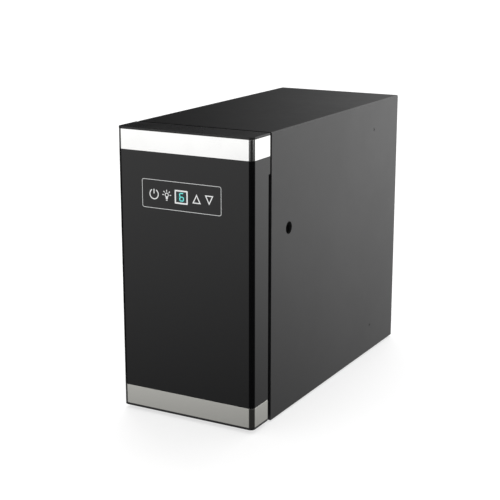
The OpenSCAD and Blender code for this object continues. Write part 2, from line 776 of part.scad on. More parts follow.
module peltier_leads() color("red") {
    bottom = terminal_top - 4;
    wire([each lead_route(1), [dc_hole_x, dc_hole_ys[0] - 24, lead_hole_z - 32],
          [dc_hole_x, dc_hole_ys[0], terminal_top + 34], [dc_hole_x, dc_hole_ys[0], bottom]], wire_r);
    wire([each lead_route(-1), [dc_hole_x - 12, dc_hole_ys[1] - 30, lead_hole_z - 20],
          [dc_hole_x, dc_hole_ys[1], terminal_top + 38], [dc_hole_x, dc_hole_ys[1], bottom]], wire_r);
}

// ---- Mains inlet and rocker ----

module mains_inlet() color("black") translate([inlet_x, 0, inlet_z]) difference() {
    union() {
        along_y(rear_out, inlet_front) rounded(-inlet_flange, inlet_flange, 3);
        along_y(rear_out - inlet_depth, rear_out + 0.5) rounded(-inlet_half, inlet_half, 1);
    }
    along_y(inlet_front - cavity_depth, inlet_front + over)
        polygon([[-cavity_half.x, -cavity_half.y], [cavity_half.x, -cavity_half.y],
                 [cavity_half.x, cavity_half.y - 5], [cavity_half.x - 5, cavity_half.y],
                 [5 - cavity_half.x, cavity_half.y], [-cavity_half.x, cavity_half.y - 5]]);
    for (b = blades)
        block([b.x - 1.05, rear_out - inlet_depth - over, b.y - 2.05],
              [b.x + 1.05, rear_out, b.y + 2.05]);
}

module inlet_pins() color("silver") translate([inlet_x, 0, inlet_z])
    for (b = blades)
        block([b.x - 1, rear_out - inlet_depth - 6.5, b.y - 2], [b.x + 1, inlet_front - 5, b.y + 2]);

module rocker_bezel() color("black") translate([rocker_x, 0, inlet_z]) {
    difference() {
        union() {
            along_y(rear_out, rear_out + 1.6) rounded(-rocker_flange, rocker_flange, 2);
            along_y(rocker_back, rear_out + 0.5) rounded(-rocker_body, rocker_body, 1);
        }
        along_y(rocker_back + 3, rear_out + 1.6 + over)
            rounded(-rocker_window, rocker_window, 0.5);
        rod_x(-rocker_body.x - over, rocker_body.x + over, rocker_pivot_r + run_fit, rocker_pivot_y, 0);
    }
    for (z = [-4, 4]) block([-2, rocker_back - 2, z - 0.4], [2, rocker_back + 0.5, z + 0.4]);
}

module rocker() color("black") translate([rocker_x, rocker_pivot_y, inlet_z]) rotate([-rocker_tilt, 0, 0]) {
    along_x(-rocker_half.x, rocker_half.x)
        polygon([[-1.6, -2.5], [0, -rocker_half.y], [4.8, -rocker_half.y], [3.6, 0],
                 [4.8, rocker_half.y], [0, rocker_half.y], [-1.6, 2.5]]);
    rod_x(-rocker_body.x + 0.1, rocker_body.x - 0.1, rocker_pivot_r, 0, 0);
}

// ---- Hinge ----

// An arm in the door's pocket and a tab on the cabinet's face, s = 1 for the upper one
module hinge_bracket(z, s) {
    tab_lo = min(z - 2.5 * s, z + 7.5 * s);
    screw_z = z + hinge_screw_dz * s;
    difference() {
        union() {
            slab(z - arm_t / 2, z + arm_t / 2) {
                translate([pin_x, pin_y]) circle(arm_w / 2);
                translate([pin_x - arm_w / 2, pin_y]) square([arm_w, face - pin_y]);
                translate([pin_x - arm_w / 2, face - 3]) square([arm_w / 2 + 38, 3]);
            }
            block([pin_x + 10, face - 2.5, tab_lo], [pin_x + 38, face, tab_lo + 10]);
        }
        rod_z(z - arm_t, z + arm_t, pin_r + 0.02, pin_x, pin_y);
        for (x = hinge_screw_xs) {
            rod_y(face - 3 - over, face + over, hole_r, x, screw_z);
            translate([x, face - 2.51, screw_z])
                rotate([-90, 0, 0]) cylinder(h = 1.5, r1 = head_r + 0.1, r2 = hole_r);
        }
    }
}

module upper_hinge_bracket() color("silver") hinge_bracket(arm_zs[1], 1);
module lower_hinge_bracket() color("silver") hinge_bracket(arm_zs[0], -1);

// Pins stand in the arms and reach into the door's blocks
module hinge_pins() color("silver")
    for (s = [-1, 1]) {
        z = s > 0 ? arm_zs[1] : arm_zs[0];
        tip = z - s * (pocket_h / 2 + block_h - 2);
        head = z + s * (arm_t / 2 + 0.7);
        rod_z(min(tip, head), max(tip, head), pin_r, pin_x, pin_y);
        rod_z(min(z + s * arm_t / 2, head), max(z + s * arm_t / 2, head), pin_r + 1.5, pin_x, pin_y);
    }

module hinge_screws() color("silver")
    for (x = hinge_screw_xs, s = [-1, 1]) {
        z = s > 0 ? arm_zs[1] + hinge_screw_dz : arm_zs[0] - hinge_screw_dz;
        difference() {
            union() {
                rod_y(face - 2.4, face_in + 9, screw_r, x, z);
                translate([x, face - 2.45, z])
                    rotate([-90, 0, 0]) cylinder(h = 1.3, r1 = head_r, r2 = screw_r);
            }
            block([x - 2, face - 3, z - 0.4], [x + 2, face - 1.7, z + 0.4]);
            block([x - 0.4, face - 3, z - 2], [x + 0.4, face - 1.7, z + 2]);
        }
    }

// The slot that an arm swings through, open at the door's left face and back
module hinge_pocket(z) {
    block([-side - over, pin_y - 11.5, z - pocket_h / 2],
          [pin_x + 6.8, door_back + over, z + pocket_h / 2]);
}

// Solid blocks in the door that the pins turn in
module hinge_block_shape(s) {
    z = s > 0 ? arm_zs[1] - pocket_h / 2 - block_h : arm_zs[0] + pocket_h / 2;
    block([skin_t + frame_t - side, pin_y - 10, z], [pin_x + 11, pin_y + 10, z + block_h]);
}

module hinge_blocks() color("dimgray") difference() {
    for (s = [-1, 1]) hinge_block_shape(s);
    for (z = arm_zs) rod_z(z - 30, z + 30, pin_r + run_fit, pin_x, pin_y);
}

// ---- Screws and feet ----

module cover_screws() color("black")
    for (s = [-1, 1], z = cover_screw_zs) difference() {
        union() {
            rod_x(s > 0 ? side - 10 : 0.4 - side, s > 0 ? side - 0.4 : 10 - side, screw_r, cover_screw_y, z);
            translate([s * (side - 0.05), cover_screw_y, z])
                rotate([0, -s * 90, 0]) cylinder(h = sheet_t - 0.1, r1 = head_r - 0.5, r2 = screw_r);
        }
        block([s * side - 0.6, cover_screw_y - 1.4, z - 0.3], [s * side + 0.6, cover_screw_y + 1.4, z + 0.3]);
        block([s * side - 0.6, cover_screw_y - 0.3, z - 1.4], [s * side + 0.6, cover_screw_y + 0.3, z + 1.4]);
    }

// A pan-head screw driven in from behind the rear panel
module rear_screw(x, z, seat, length) {
    difference() {
        union() {
            rod_y(seat - length, seat + 0.5, screw_r, x, z);
            rod_y(seat, seat + 1.8, head_r, x, z);
        }
        block([x - 1.8, seat + 1, z - 0.4], [x + 1.8, seat + 3, z + 0.4]);
        block([x - 0.4, seat + 1, z - 1.8], [x + 0.4, seat + 3, z + 1.8]);
    }
}

module rear_screws() color("black") {
    for (x = [-rear_screw_x, rear_screw_x], z = rear_screw_zs) rear_screw(x, z, rear_out, 9);
    for (x = [-edge_screw_x, edge_screw_x], z = edge_screw_zs) rear_screw(x, z, rear_out, 9);
}

module fan_screws() color("silver")
    for (c = fan_corners(hot_fan)) rear_screw(c.x, peltier_z + c.y, rear_out + 0.8, 22);

module feet() color("black")
    for (x = [-foot_x, foot_x], y = foot_ys) difference() {
        rod_z(0, base, foot_r, x, y);
        rod_z(-over, 1.6, head_r + 0.6, x, y);
        rod_z(-over, base + over, hole_r, x, y);
    }

module foot_screws() color("silver")
    for (x = [-foot_x, foot_x], y = foot_ys) difference() {
        union() {
            rod_z(0.4, 1.6, head_r, x, y);
            rod_z(1, pan_top + 4, screw_r, x, y);
        }
        block([x - 1.8, y - 0.4, 0], [x + 1.8, y + 0.4, 1]);
    }

// ---- Door ----

// The door seen from above, with round front corners
module door_plan(inset, rear) {
    w = side - inset;
    f = front + inset;
    r = corner_r - inset;
    translate([-w, f + r]) square([2 * w, rear - f - r]);
    translate([r - w, f]) square([2 * w - 2 * r, rear - f]);
    for (x = [r - w, w - r]) translate([x, f + r]) circle(r);
}

// The pull edge's notch, grown by the given amount
module grip_notch(grow) {
    block([side - grip_w - grow, door_back - grip_setback - grow, door_bot - over],
          [side + over, door_back + over, grip_top + grow]);
}

// A shell of the skin's thickness round the door's front and cheeks
module door_wrap(z0, z1) {
    slab(z0, z1) difference() {
        door_plan(0, door_back);
        door_plan(skin_t, door_back + over);
    }
}

module door_skin() color([0.03, 0.03, 0.035]) difference() {
    door_wrap(low_hi + seam, up_lo - seam);
    grip_notch(0);
    block([key_digit - window_w / 2, front - over, window_z - window_h / 2],
          [key_digit + window_w / 2, front + skin_t + over, window_z + window_h / 2]);
    along_y(front - over, front + inlay_t) legend_shapes();
}

module upper_band() color([0.85, 0.85, 0.85]) difference() {
    door_wrap(up_lo, up_hi);
    hinge_pocket(arm_zs[1]);
}

module lower_band() color([0.6, 0.6, 0.58]) difference() {
    door_wrap(low_lo, low_hi);
    hinge_pocket(arm_zs[0]);
    grip_notch(0);
}

module top_cap() color("black") slab(up_hi, roof) door_plan(0, door_back);

module bottom_cap() color("black") difference() {
    slab(door_bot, low_lo) door_plan(0, door_back);
    grip_notch(0);
}

module door_frame() color("dimgray") difference() {
    union() {
        slab(low_lo, up_hi) difference() {
            door_plan(skin_t, door_inner);
            door_plan(skin_t + frame_t, door_inner + over);
        }
        slab(low_lo, low_lo + frame_t / 2) door_plan(skin_t, door_inner);
        slab(up_hi - frame_t, up_hi) door_plan(skin_t, door_inner);
        intersection() {
            slab(low_lo, up_hi) door_plan(skin_t, door_inner);
            grip_notch(frame_t);
        }
    }
    grip_notch(0);
    for (z = arm_zs) hinge_pocket(z);
    block([panel_x - tray_x + 3, front, panel_z - tray_z + 3],
          [panel_x + tray_x - 3, front + skin_t + frame_t + over, panel_z + tray_z - 3]);
}

module door_foam() color("lightyellow") difference() {
    union() {
        slab(low_lo + frame_t / 2, up_hi - frame_t) door_plan(skin_t + frame_t, door_inner);
        along_y(door_inner - over, plug_back - liner_t)
            rounded([liner_t - plug_x, plug_lo + liner_t], [plug_x - liner_t, plug_hi - liner_t], liner_r - liner_t);
    }
    grip_notch(frame_t);
    for (z = arm_zs) hinge_pocket(z);
    for (s = [-1, 1]) hinge_block_shape(s);
    block([panel_x - tray_x, tray_y - over, panel_z - tray_z],
          [panel_x + tray_x, tray_y + tray_d, panel_z + tray_z]);
}

module door_liner() color("whitesmoke") difference() {
    union() {
        block([skin_t - side, door_inner, low_lo], [side - skin_t, door_back, up_hi]);
        along_y(door_inner, plug_back) rounded([-plug_x, plug_lo], [plug_x, plug_hi], liner_r);
    }
    along_y(door_inner - over, plug_back - liner_t)
        rounded([liner_t - plug_x, plug_lo + liner_t], [plug_x - liner_t, plug_hi - liner_t], liner_r - liner_t);
    grip_notch(0);
    for (z = arm_zs) hinge_pocket(z);
}

// A ring between two insets from the gasket's outer edge
module gasket_ring(outer, inner) {
    e = gasket_in;
    difference() {
        rounded([e + outer - side, door_bot + e + outer], [side - e - outer, roof - e - outer], 6);
        rounded([e + inner - side, door_bot + e + inner], [side - e - inner, roof - e - inner], 3);
    }
}

module gasket() color([0.12, 0.12, 0.12]) difference() {
    along_y(door_back, face - fit) gasket_ring(0, gasket_w);
    along_y(door_back + seal_base_t, door_back + seal_base_t + seal_slot_t) gasket_ring(-over, gasket_w - 3);
}

module gasket_magnet() color("dimgray")
    along_y(door_back + seal_base_t + magnet_gap, door_back + seal_base_t + seal_slot_t - magnet_gap)
        gasket_ring(1, gasket_w - 3.5);

// ---- Control panel ----

module outline(lo, hi, r, line) {
    difference() {
        rounded(lo, hi, r);
        rounded([lo.x + line, lo.y + line], [hi.x - line, hi.y - line], max(r - line, 0.2));
    }
}

module power_icon() {
    difference() {
        circle(7);
        circle(7 - stroke);
        polygon([[0, 0], [-5, 9], [5, 9]]);
    }
    translate([-stroke / 2, 0.6]) square([stroke, 6]);
}

module lamp_icon() {
    line = stroke * 0.8;
    difference() {
        union() {
            circle(2.9);
            translate([-1.5, -5.4]) square([3, 4]);
        }
        circle(2.9 - line);
    }
    translate([-1.1, -7.4]) square([2.2, 1.2]);
    for (a = [0 : 45 : 180]) rotate(a) translate([4.2, -line / 2]) square([2.5, line]);
}

module arrow_icon() {
    difference() {
        polygon([[-6.2, -6.1], [6.2, -6.1], [0, 6.1]]);
        polygon([[-6.2 + stroke * 1.7, -6.1 + stroke], [6.2 - stroke * 1.7, -6.1 + stroke],
                 [0, 6.1 - stroke * 2.2]]);
    }
}

// Everything that is inlaid in the skin, seen from the front
module legend_shapes() {
    outline([panel_x - panel_w / 2, panel_z - panel_h / 2], [panel_x + panel_w / 2, panel_z + panel_h / 2],
            3, panel_line);
    outline([key_digit - box_w / 2, window_z - box_h / 2], [key_digit + box_w / 2, window_z + box_h / 2],
            1, box_line);
    translate([key_power, icon_z]) power_icon();
    translate([key_lamp, icon_z + 0.6]) lamp_icon();
    translate([key_up, icon_z - 0.2]) arrow_icon();
    translate([key_down, icon_z - 0.2]) rotate(180) arrow_icon();
}

module legend_inlays() color("white") along_y(front, front + inlay_t) legend_shapes();

module display_window() color([0.02, 0.16, 0.17], 0.8)
    block([key_digit - window_w / 2 + 0.05, front, window_z - window_h / 2 + 0.05],
          [key_digit + window_w / 2 - 0.05, front + window_t, window_z + window_h / 2 - 0.05]);

// One bar of the digit: its middle, its length and its turn
module segment(x, z, length, turn) {
    h = segment_w / 2;
    translate([x, z]) rotate(turn)
        polygon([[-length / 2, 0], [h - length / 2, h], [length / 2 - h, h],
                 [length / 2, 0], [length / 2 - h, -h], [h - length / 2, -h]]);
}

// The six bars of a six, standing on the module's face
module digit_segments() color("turquoise") {
    w = (digit_w - segment_w) / 2;
    h = (digit_h - segment_w) / 2;
    along_y(front + window_t + 0.05, front + window_t + 0.05 + segment_t) translate([key_digit, window_z]) {
        for (z = [-h, 0, h]) segment(0, z, 2 * w - 0.3, 0);
        segment(-w, h / 2, h - 0.3, 90);
        for (x = [-w, w]) segment(x, -h / 2, h - 0.3, 90);
    }
}

module digit_module() color([0.05, 0.08, 0.08])
    block([key_digit - window_w / 2 + 0.4, front + window_t + 0.05 + segment_t, window_z - window_h / 2 + 0.4],
          [key_digit + window_w / 2 - 0.4, board_y, window_z + window_h / 2 - 0.4]);

module touch_pads() color("gray")
    for (x = [key_power, key_lamp, key_up, key_down]) rod_y(front + skin_t, board_y, 5.5, x, icon_z);

module control_board() color("darkgreen") difference() {
    block([panel_x - tray_x + 5, board_y, panel_z - tray_z + 5],
          [panel_x + tray_x - 5, board_y + board_t, panel_z + tray_z - 5]);
    for (x = [-1, 1], z = [-1, 1])
        rod_y(board_y - over, board_y + board_t + over, 1.3, panel_x + x * (tray_x - 10), panel_z + z * (tray_z - 9));
}

module control_tray() color("dimgray") {
    difference() {
        block([panel_x - tray_x, tray_y, panel_z - tray_z], [panel_x + tray_x, tray_y + tray_d, panel_z + tray_z]);
        block([panel_x - tray_x + tray_wall, tray_y - over, panel_z - tray_z + tray_wall],
              [panel_x + tray_x - tray_wall, tray_y + tray_d - tray_wall, panel_z + tray_z - tray_wall]);
    }
    for (x = [-1, 1], z = [-1, 1]) {
        rod_y(board_y + board_t, tray_y + tray_d - 1, 3, panel_x + x * (tray_x - 10), panel_z + z * (tray_z - 9));
        rod_y(board_y + 0.2, board_y + board_t + 0.5, 1.25, panel_x + x * (tray_x - 10), panel_z + z * (tray_z - 9));
    }
}

outer_cover();
base_pan();
bulkhead();
rear_panel();
insulation();
inner_liner();
hose_bush();
drip_tray();
lamp_housing();
lamp_lens();
temperature_probe();
cold_block();
peltier_module();
cold_sink();
cold_fan_frame();
cold_fan_rotor();
air_baffle();
hot_sink();
hot_fan_frame();
hot_fan_rotor();
fan_guard();
psu_board();
psu_standoffs();
psu_transformer();
psu_capacitors();
psu_heatsink();
psu_terminals();
mains_inlet();
inlet_pins();
rocker_bezel();
rocker();
mains_leads();
peltier_leads();
upper_hinge_bracket();
lower_hinge_bracket();
hinge_pins();
hinge_screws();
cover_screws();
rear_screws();
fan_screws();
feet();
foot_screws();
door_skin();
upper_band();
lower_band();
top_cap();
bottom_cap();
door_frame();
door_foam();
door_liner();
gasket();
gasket_magnet();
hinge_blocks();
control_tray();
control_board();
digit_module();
touch_pads();
legend_inlays();
display_window();
digit_segments();
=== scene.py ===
"""Looks of a countertop milk cooler: gloss black door with two bright trim bands, satin steel cabinet."""

import json
from math import cos, pi, radians, sin

import bmesh
import bpy
from mathutils import Matrix, Vector


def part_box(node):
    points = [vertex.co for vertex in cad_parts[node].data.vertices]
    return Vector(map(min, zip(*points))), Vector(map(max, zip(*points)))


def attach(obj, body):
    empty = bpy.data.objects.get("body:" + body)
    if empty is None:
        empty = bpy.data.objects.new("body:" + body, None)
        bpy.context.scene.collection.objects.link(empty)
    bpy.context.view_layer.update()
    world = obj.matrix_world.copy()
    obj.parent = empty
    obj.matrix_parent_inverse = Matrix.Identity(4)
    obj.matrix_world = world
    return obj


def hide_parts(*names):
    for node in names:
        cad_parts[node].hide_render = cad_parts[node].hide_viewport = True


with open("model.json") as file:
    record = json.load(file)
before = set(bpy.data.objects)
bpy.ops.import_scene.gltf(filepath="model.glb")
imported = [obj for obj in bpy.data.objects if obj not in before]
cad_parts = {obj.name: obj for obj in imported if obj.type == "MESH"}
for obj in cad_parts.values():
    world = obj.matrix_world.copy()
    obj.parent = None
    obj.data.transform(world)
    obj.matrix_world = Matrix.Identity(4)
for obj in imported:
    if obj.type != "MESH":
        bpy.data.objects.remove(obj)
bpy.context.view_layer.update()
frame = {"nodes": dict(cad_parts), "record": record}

MM = 0.001
BODIES = frame["record"]["behaviour"]["bodies"]
BODY_OF = {node: body for body, nodes in BODIES.items() for node in nodes}
SLOT_OF = {part["node"]: part["material_slot"] for part in frame["record"]["subparts"]}
UP = Vector((0, 0, 1))
BACKWARDS = Vector((0, 1, 0))


# ---- Camera, lights and floor ----

# The camera: its place in metres, its lens in millimetres and its angles in degrees
CAMERA_PLACE = (0.8109, -1.5262, 0.6296)
CAMERA_LENS = 88.71
SENSOR_WIDTH = 36
LOOKS_DOWN = 14.519
LOOKS_LEFT = 28.887

# Lights round the object, in degrees: lower edge, upper edge, and how softly each edge fades
LEFT_LIGHT = (23, 44, 3, 3)
RIGHT_LIGHT = (-13.5, 46, 21, 8)
DOOR_PANEL = (-14, 14, 9, 9)
RIGHT_PANEL = (-108, -72, 9, 9)
LEFT_PANEL = (70, 112, 9, 9)
PANEL_HEIGHT = (-8, 34, 3, 10)
LEFT_LEVEL = 1.02
PANEL_LEVEL = 0.5
REST_LEVEL = 0.023

# Name, turn about each axis in degrees, angle across and strength
SUNS = (("dome", (0, 0, 0), 150, 1.5), ("key", (38, 0, 205), 40, 1.25))

# Half the floor's width in metres, its grey, and the light it gives off so that it stays pale
FLOOR_HALF = 30.0
FLOOR_GREY = 0.42
FLOOR_GLOW = 0.67


def add_camera():
    data = bpy.data.cameras.new("camera")
    data.lens = CAMERA_LENS
    data.sensor_width = SENSOR_WIDTH
    data.clip_end = 100
    camera = bpy.data.objects.new("camera", data)
    camera.location = CAMERA_PLACE
    camera.rotation_euler = (radians(90 - LOOKS_DOWN), 0, radians(LOOKS_LEFT))
    bpy.context.scene.collection.objects.link(camera)
    bpy.context.scene.camera = camera


class Nodes:
    """Short ways to add and join the nodes of one tree."""

    def __init__(self, tree):
        self.tree = tree

    def add(self, kind, sockets=None, **settings):
        node = self.tree.nodes.new(kind)
        for key, value in settings.items():
            setattr(node, key, value)
        for key, value in (sockets or {}).items():
            if hasattr(value, "is_output"):
                self.tree.links.new(value, node.inputs[key])
            else:
                node.inputs[key].default_value = value
        return node

    def math(self, operation, a, b=0.0, c=0.0):
        return self.add("ShaderNodeMath", {0: a, 1: b, 2: c}, operation=operation).outputs[0]

    def ramp(self, value, low, high, to_low=0.0, to_high=1.0):
        """Smoothly carries value from low..high to to_low..to_high."""
        span = {"Value": value, "From Min": low, "From Max": high, "To Min": to_low, "To Max": to_high}
        node = self.add("ShaderNodeMapRange", span, interpolation_type="SMOOTHSTEP", clamp=True)
        return node.outputs["Result"]

    def place(self):
        """Where a point lies on the object, in metres."""
        return self.add("ShaderNodeTexCoord").outputs["Object"]

    def link(self, output, target):
        self.tree.links.new(output, target)


def add_surroundings():
    """A pale studio: tall lights front left and back right, three soft panels, ceiling and two suns."""
    world = bpy.data.worlds.new("studio")
    world.use_nodes = True
    n = Nodes(world.node_tree)
    world.node_tree.nodes.clear()
    way = n.add("ShaderNodeTexCoord").outputs["Generated"]
    x, y, z = n.add("ShaderNodeSeparateXYZ", {0: way}).outputs
    height = n.math("ARCSINE", z)
    # Angle from straight ahead of the door, growing to the left
    turn = n.math("ARCTAN2", n.math("MULTIPLY", x, -1.0), n.math("MULTIPLY", y, -1.0))
    # Angle from straight behind, growing to the right
    behind = n.math("ARCTAN2", x, y)

    def between(angle, low, high, soft_low, soft_high):
        rise = n.ramp(angle, radians(low - soft_low), radians(low + soft_low))
        fall = n.ramp(angle, radians(high - soft_high), radians(high + soft_high), 1.0, 0.0)
        return n.math("MULTIPLY", rise, fall)

    left_light = n.math("MULTIPLY", between(turn, *LEFT_LIGHT), LEFT_LEVEL)
    brighter_above = n.ramp(height, radians(-24), radians(-6), 1.02, 1.22)
    right_light = n.math("MULTIPLY", between(behind, *RIGHT_LIGHT), brighter_above)
    # Soft panels that show in the door, the right side and the left side when each is seen square on
    panels = n.math("ADD", between(turn, *DOOR_PANEL), between(turn, *RIGHT_PANEL))
    panels = n.math("ADD", panels, between(turn, *LEFT_PANEL))
    panels = n.math("MULTIPLY", panels, between(height, *PANEL_HEIGHT))
    # The two tall lights fade towards the floor and towards the ceiling
    fade = n.ramp(height, radians(-29), radians(-4.5), 0.13, 1.12)
    fade = n.math("MULTIPLY", fade, n.ramp(height, radians(22), radians(45), 1.0, 0.0))
    ceiling = n.ramp(height, radians(44), radians(74), 0.0, 0.8)
    level = n.math("ADD", left_light, right_light)
    level = n.math("ADD", n.math("MULTIPLY", level, fade), ceiling)
    level = n.math("ADD", level, n.math("MULTIPLY", panels, PANEL_LEVEL))
    level = n.math("ADD", level, REST_LEVEL)
    # What is behind the object is plain white, as the floor is
    seen = n.add("ShaderNodeLightPath").outputs["Is Camera Ray"]
    level = n.math("MAXIMUM", level, seen)
    background = n.add("ShaderNodeBackground", {"Strength": level, "Color": (1, 1, 1, 1)})
    n.add("ShaderNodeOutputWorld", {"Surface": background.outputs[0]})
    bpy.context.scene.world = world
    bpy.context.scene.view_settings.view_transform = "Standard"

    for name, turned, across, strength in SUNS:
        data = bpy.data.lights.new(name, "SUN")
        data.energy = strength
        data.angle = radians(across)
        light = bpy.data.objects.new(name, data)
        light.rotation_euler = [radians(angle) for angle in turned]
        light.visible_glossy = False
        bpy.context.scene.collection.objects.link(light)


def add_floor():
    """A wide, plain, pale floor."""
    mesh = bpy.data.meshes.new("floor")
    corners = [(x * FLOOR_HALF, y * FLOOR_HALF, 0) for x, y in ((-1, -1), (1, -1), (1, 1), (-1, 1))]
    mesh.from_pydata(corners, [], [(0, 1, 2, 3)])
    material, _, shader = new_material("floor")
    shader.inputs["Base Color"].default_value = (FLOOR_GREY, FLOOR_GREY, FLOOR_GREY, 1)
    shader.inputs["Emission Color"].default_value = (1, 1, 1, 1)
    shader.inputs["Emission Strength"].default_value = FLOOR_GLOW
    shader.inputs["Roughness"].default_value = 0.9
    shader.inputs["Specular IOR Level"].default_value = 0.0
    mesh.materials.append(material)
    floor = new_piece("floor", mesh)
    floor.visible_glossy = False


# ---- Effects that several finishes share ----

def new_group(name, inputs, outputs):
    """A node group of numbers, its nodes, what it is given and what it puts out."""
    group = bpy.data.node_groups.new(name, "ShaderNodeTree")
    for socket, value in inputs.items():
        item = group.interface.new_socket(socket, in_out="INPUT", socket_type="NodeSocketFloat")
        item.default_value = value
    for socket in outputs:
        group.interface.new_socket(socket, in_out="OUTPUT", socket_type="NodeSocketFloat")
    n = Nodes(group)
    return group, n, n.add("NodeGroupInput").outputs, n.add("NodeGroupOutput").inputs


def make_grain():
    """The fine pebbling of powder coat and moulded plastic."""
    group, n, given, put = new_group("grain", {"Size": 0.4, "Softness": 0.5}, ["Height"])
    where = n.place()
    scale = n.math("DIVIDE", 1000.0, given["Size"])
    noise = n.add("ShaderNodeTexNoise", {"Vector": where, "Scale": scale, "Detail": 3.0,
                                         "Roughness": given["Softness"]})
    n.link(noise.outputs["Fac"], put["Height"])
    return group


def make_handling():
    """Where hands and cloths have left a surface a little duller."""
    given = {"Size": 60.0, "Least": 0.2, "Most": 0.3}
    group, n, given, put = new_group("handling", given, ["Roughness"])
    where = n.place()
    scale = n.math("DIVIDE", 1000.0, given["Size"])
    cloud = n.add("ShaderNodeTexNoise", {"Vector": where, "Scale": scale, "Detail": 4.0,
                                         "Distortion": 0.6})
    finer = n.math("MULTIPLY", scale, 9.0)
    fine = n.add("ShaderNodeTexNoise", {"Vector": where, "Scale": finer, "Detail": 2.0})
    mixed = n.math("ADD", n.math("MULTIPLY", cloud.outputs["Fac"], 0.75),
                   n.math("MULTIPLY", fine.outputs["Fac"], 0.25))
    spread = n.ramp(mixed, 0.35, 0.65)
    span = n.math("SUBTRACT", given["Most"], given["Least"])
    n.link(n.math("MULTIPLY_ADD", spread, span, given["Least"]), put["Roughness"])
    return group


def make_brushing():
    """Fine straight lines round the object, as a belt leaves them on trim."""
    group, n, given, put = new_group("brushing", {"Line": 0.12, "Length": 40.0}, ["Height", "Shade"])
    where = n.place()
    parts = n.add("ShaderNodeSeparateXYZ", {0: where})
    along = n.math("DIVIDE", 1000.0, given["Length"])
    across = n.math("DIVIDE", 1000.0, given["Line"])
    stretched = n.add("ShaderNodeCombineXYZ", {
        0: n.math("MULTIPLY", parts.outputs[0], along),
        1: n.math("MULTIPLY", parts.outputs[1], along),
        2: n.math("MULTIPLY", parts.outputs[2], across),
    })
    lines = n.add("ShaderNodeTexNoise", {"Vector": stretched.outputs[0], "Scale": 1.0, "Detail": 5.0,
                                         "Roughness": 0.7})
    n.link(lines.outputs["Fac"], put["Height"])
    n.link(n.ramp(lines.outputs["Fac"], 0.3, 0.7, 0.9, 1.0), put["Shade"])
    return group


def make_dust():
    """Fine dust that settles on what faces upwards."""
    group, n, given, put = new_group("dust", {"Amount": 0.1}, ["Mask"])
    where = n.place()
    normal = n.add("ShaderNodeNewGeometry").outputs["Normal"]
    up = n.add("ShaderNodeSeparateXYZ", {0: normal}).outputs[2]
    specks = n.add("ShaderNodeTexNoise", {"Vector": where, "Scale": 900.0, "Detail": 2.0})
    drift = n.add("ShaderNodeTexNoise", {"Vector": where, "Scale": 14.0, "Detail": 3.0})
    lying = n.ramp(up, 0.75, 1.0)
    mask = n.math("MULTIPLY", n.ramp(specks.outputs["Fac"], 0.45, 0.75),
                  n.ramp(drift.outputs["Fac"], 0.35, 0.7))
    n.link(n.math("MULTIPLY", n.math("MULTIPLY", mask, lying), given["Amount"]), put["Mask"])
    return group


def make_edge_wear():
    """A thin line along sharp edges, where a finish is rubbed."""
    group, n, given, put = new_group("edge_wear", {"Width": 0.6, "Amount": 0.5}, ["Mask"])
    radius = n.math("MULTIPLY", given["Width"], MM)
    rounded = n.add("ShaderNodeBevel", {"Radius": radius}, samples=4).outputs["Normal"]
    straight = n.add("ShaderNodeNewGeometry").outputs["Normal"]
    same = n.add("ShaderNodeVectorMath", {0: rounded, 1: straight}, operation="DOT_PRODUCT")
    where = n.place()
    patchy = n.add("ShaderNodeTexNoise", {"Vector": where, "Scale": 120.0, "Detail": 3.0}).outputs["Fac"]
    edge = n.ramp(same.outputs["Value"], 0.8, 0.99, 1.0, 0.0)
    mask = n.math("MULTIPLY", edge, n.ramp(patchy, 0.3, 0.6, 0.4, 1.0))
    n.link(n.math("MULTIPLY", mask, given["Amount"]), put["Mask"])
    return group


SHARED = {
    "grain": make_grain(),
    "handling": make_handling(),
    "brushing": make_brushing(),
    "dust": make_dust(),
    "edge_wear": make_edge_wear(),
}


# ---- Finishes ----

def new_material(name):
    """A new material, its nodes and its shader."""
    material = bpy.data.materials.new(name)
    material.use_nodes = True
    n = Nodes(material.node_tree)
    return material, n, material.node_tree.nodes["Principled BSDF"]


def shared(n, effect, **values):
    """Places a shared effect in a material with its own values."""
    node = n.add("ShaderNodeGroup", node_tree=SHARED[effect])
    for key, value in values.items():
        node.inputs[key.capitalize()].default_value = value
    return node


def bumped(n, shader, height, depth, strength):
    """Raises the surface by a height map, to a depth in millimetres."""
    bump = n.add("ShaderNodeBump", {"Height": height, "Strength": strength, "Distance": depth * MM})
    n.link(bump.outputs["Normal"], shader.inputs["Normal"])


def grained(n, shader, size, softness, depth, strength):
    """Gives the surface the shared grain. Size and depth are in millimetres."""
    bumped(n, shader, shared(n, "grain", size=size, softness=softness).outputs[0], depth, strength)


def handled(n, shader, size, least, most):
    """Lets the roughness wander between two values, in clouds of a size in millimetres."""
    rough = shared(n, "handling", size=size, least=least, most=most)
    n.link(rough.outputs[0], shader.inputs["Roughness"])


def coloured(n, shader, plain, other, mask, socket="Base Color"):
    """Mixes two colours by a mask into one of the shader's colours."""
    mix = n.add("ShaderNodeMix", data_type="RGBA")
    mix.inputs[6].default_value = (*plain, 1)
    mix.inputs[7].default_value = (*other, 1)
    n.link(mask, mix.inputs[0])
    n.link(mix.outputs[2], shader.inputs[socket])


def cloud(n, size, low=0.35, high=0.65):
    """Soft patches of a size in millimetres."""
    noise = n.add("ShaderNodeTexNoise", {"Vector": n.place(), "Scale": 1 / (size * MM), "Detail": 4.0})
    return n.ramp(noise.outputs["Fac"], low, high)


def powder_coat(name, colour, worn, rough):
    """Sprayed and baked paint, rubbed lighter along its edges."""
    material, n, shader = new_material(name)
    wear = shared(n, "edge_wear", width=0.7, amount=0.55).outputs["Mask"]
    dust = shared(n, "dust", amount=0.05).outputs["Mask"]
    coloured(n, shader, colour, worn, n.math("MAXIMUM", wear, dust))
    handled(n, shader, 140.0, rough - 0.015, rough + 0.02)
    grained(n, shader, 0.45, 0.55, 0.004, 0.4)
    return material


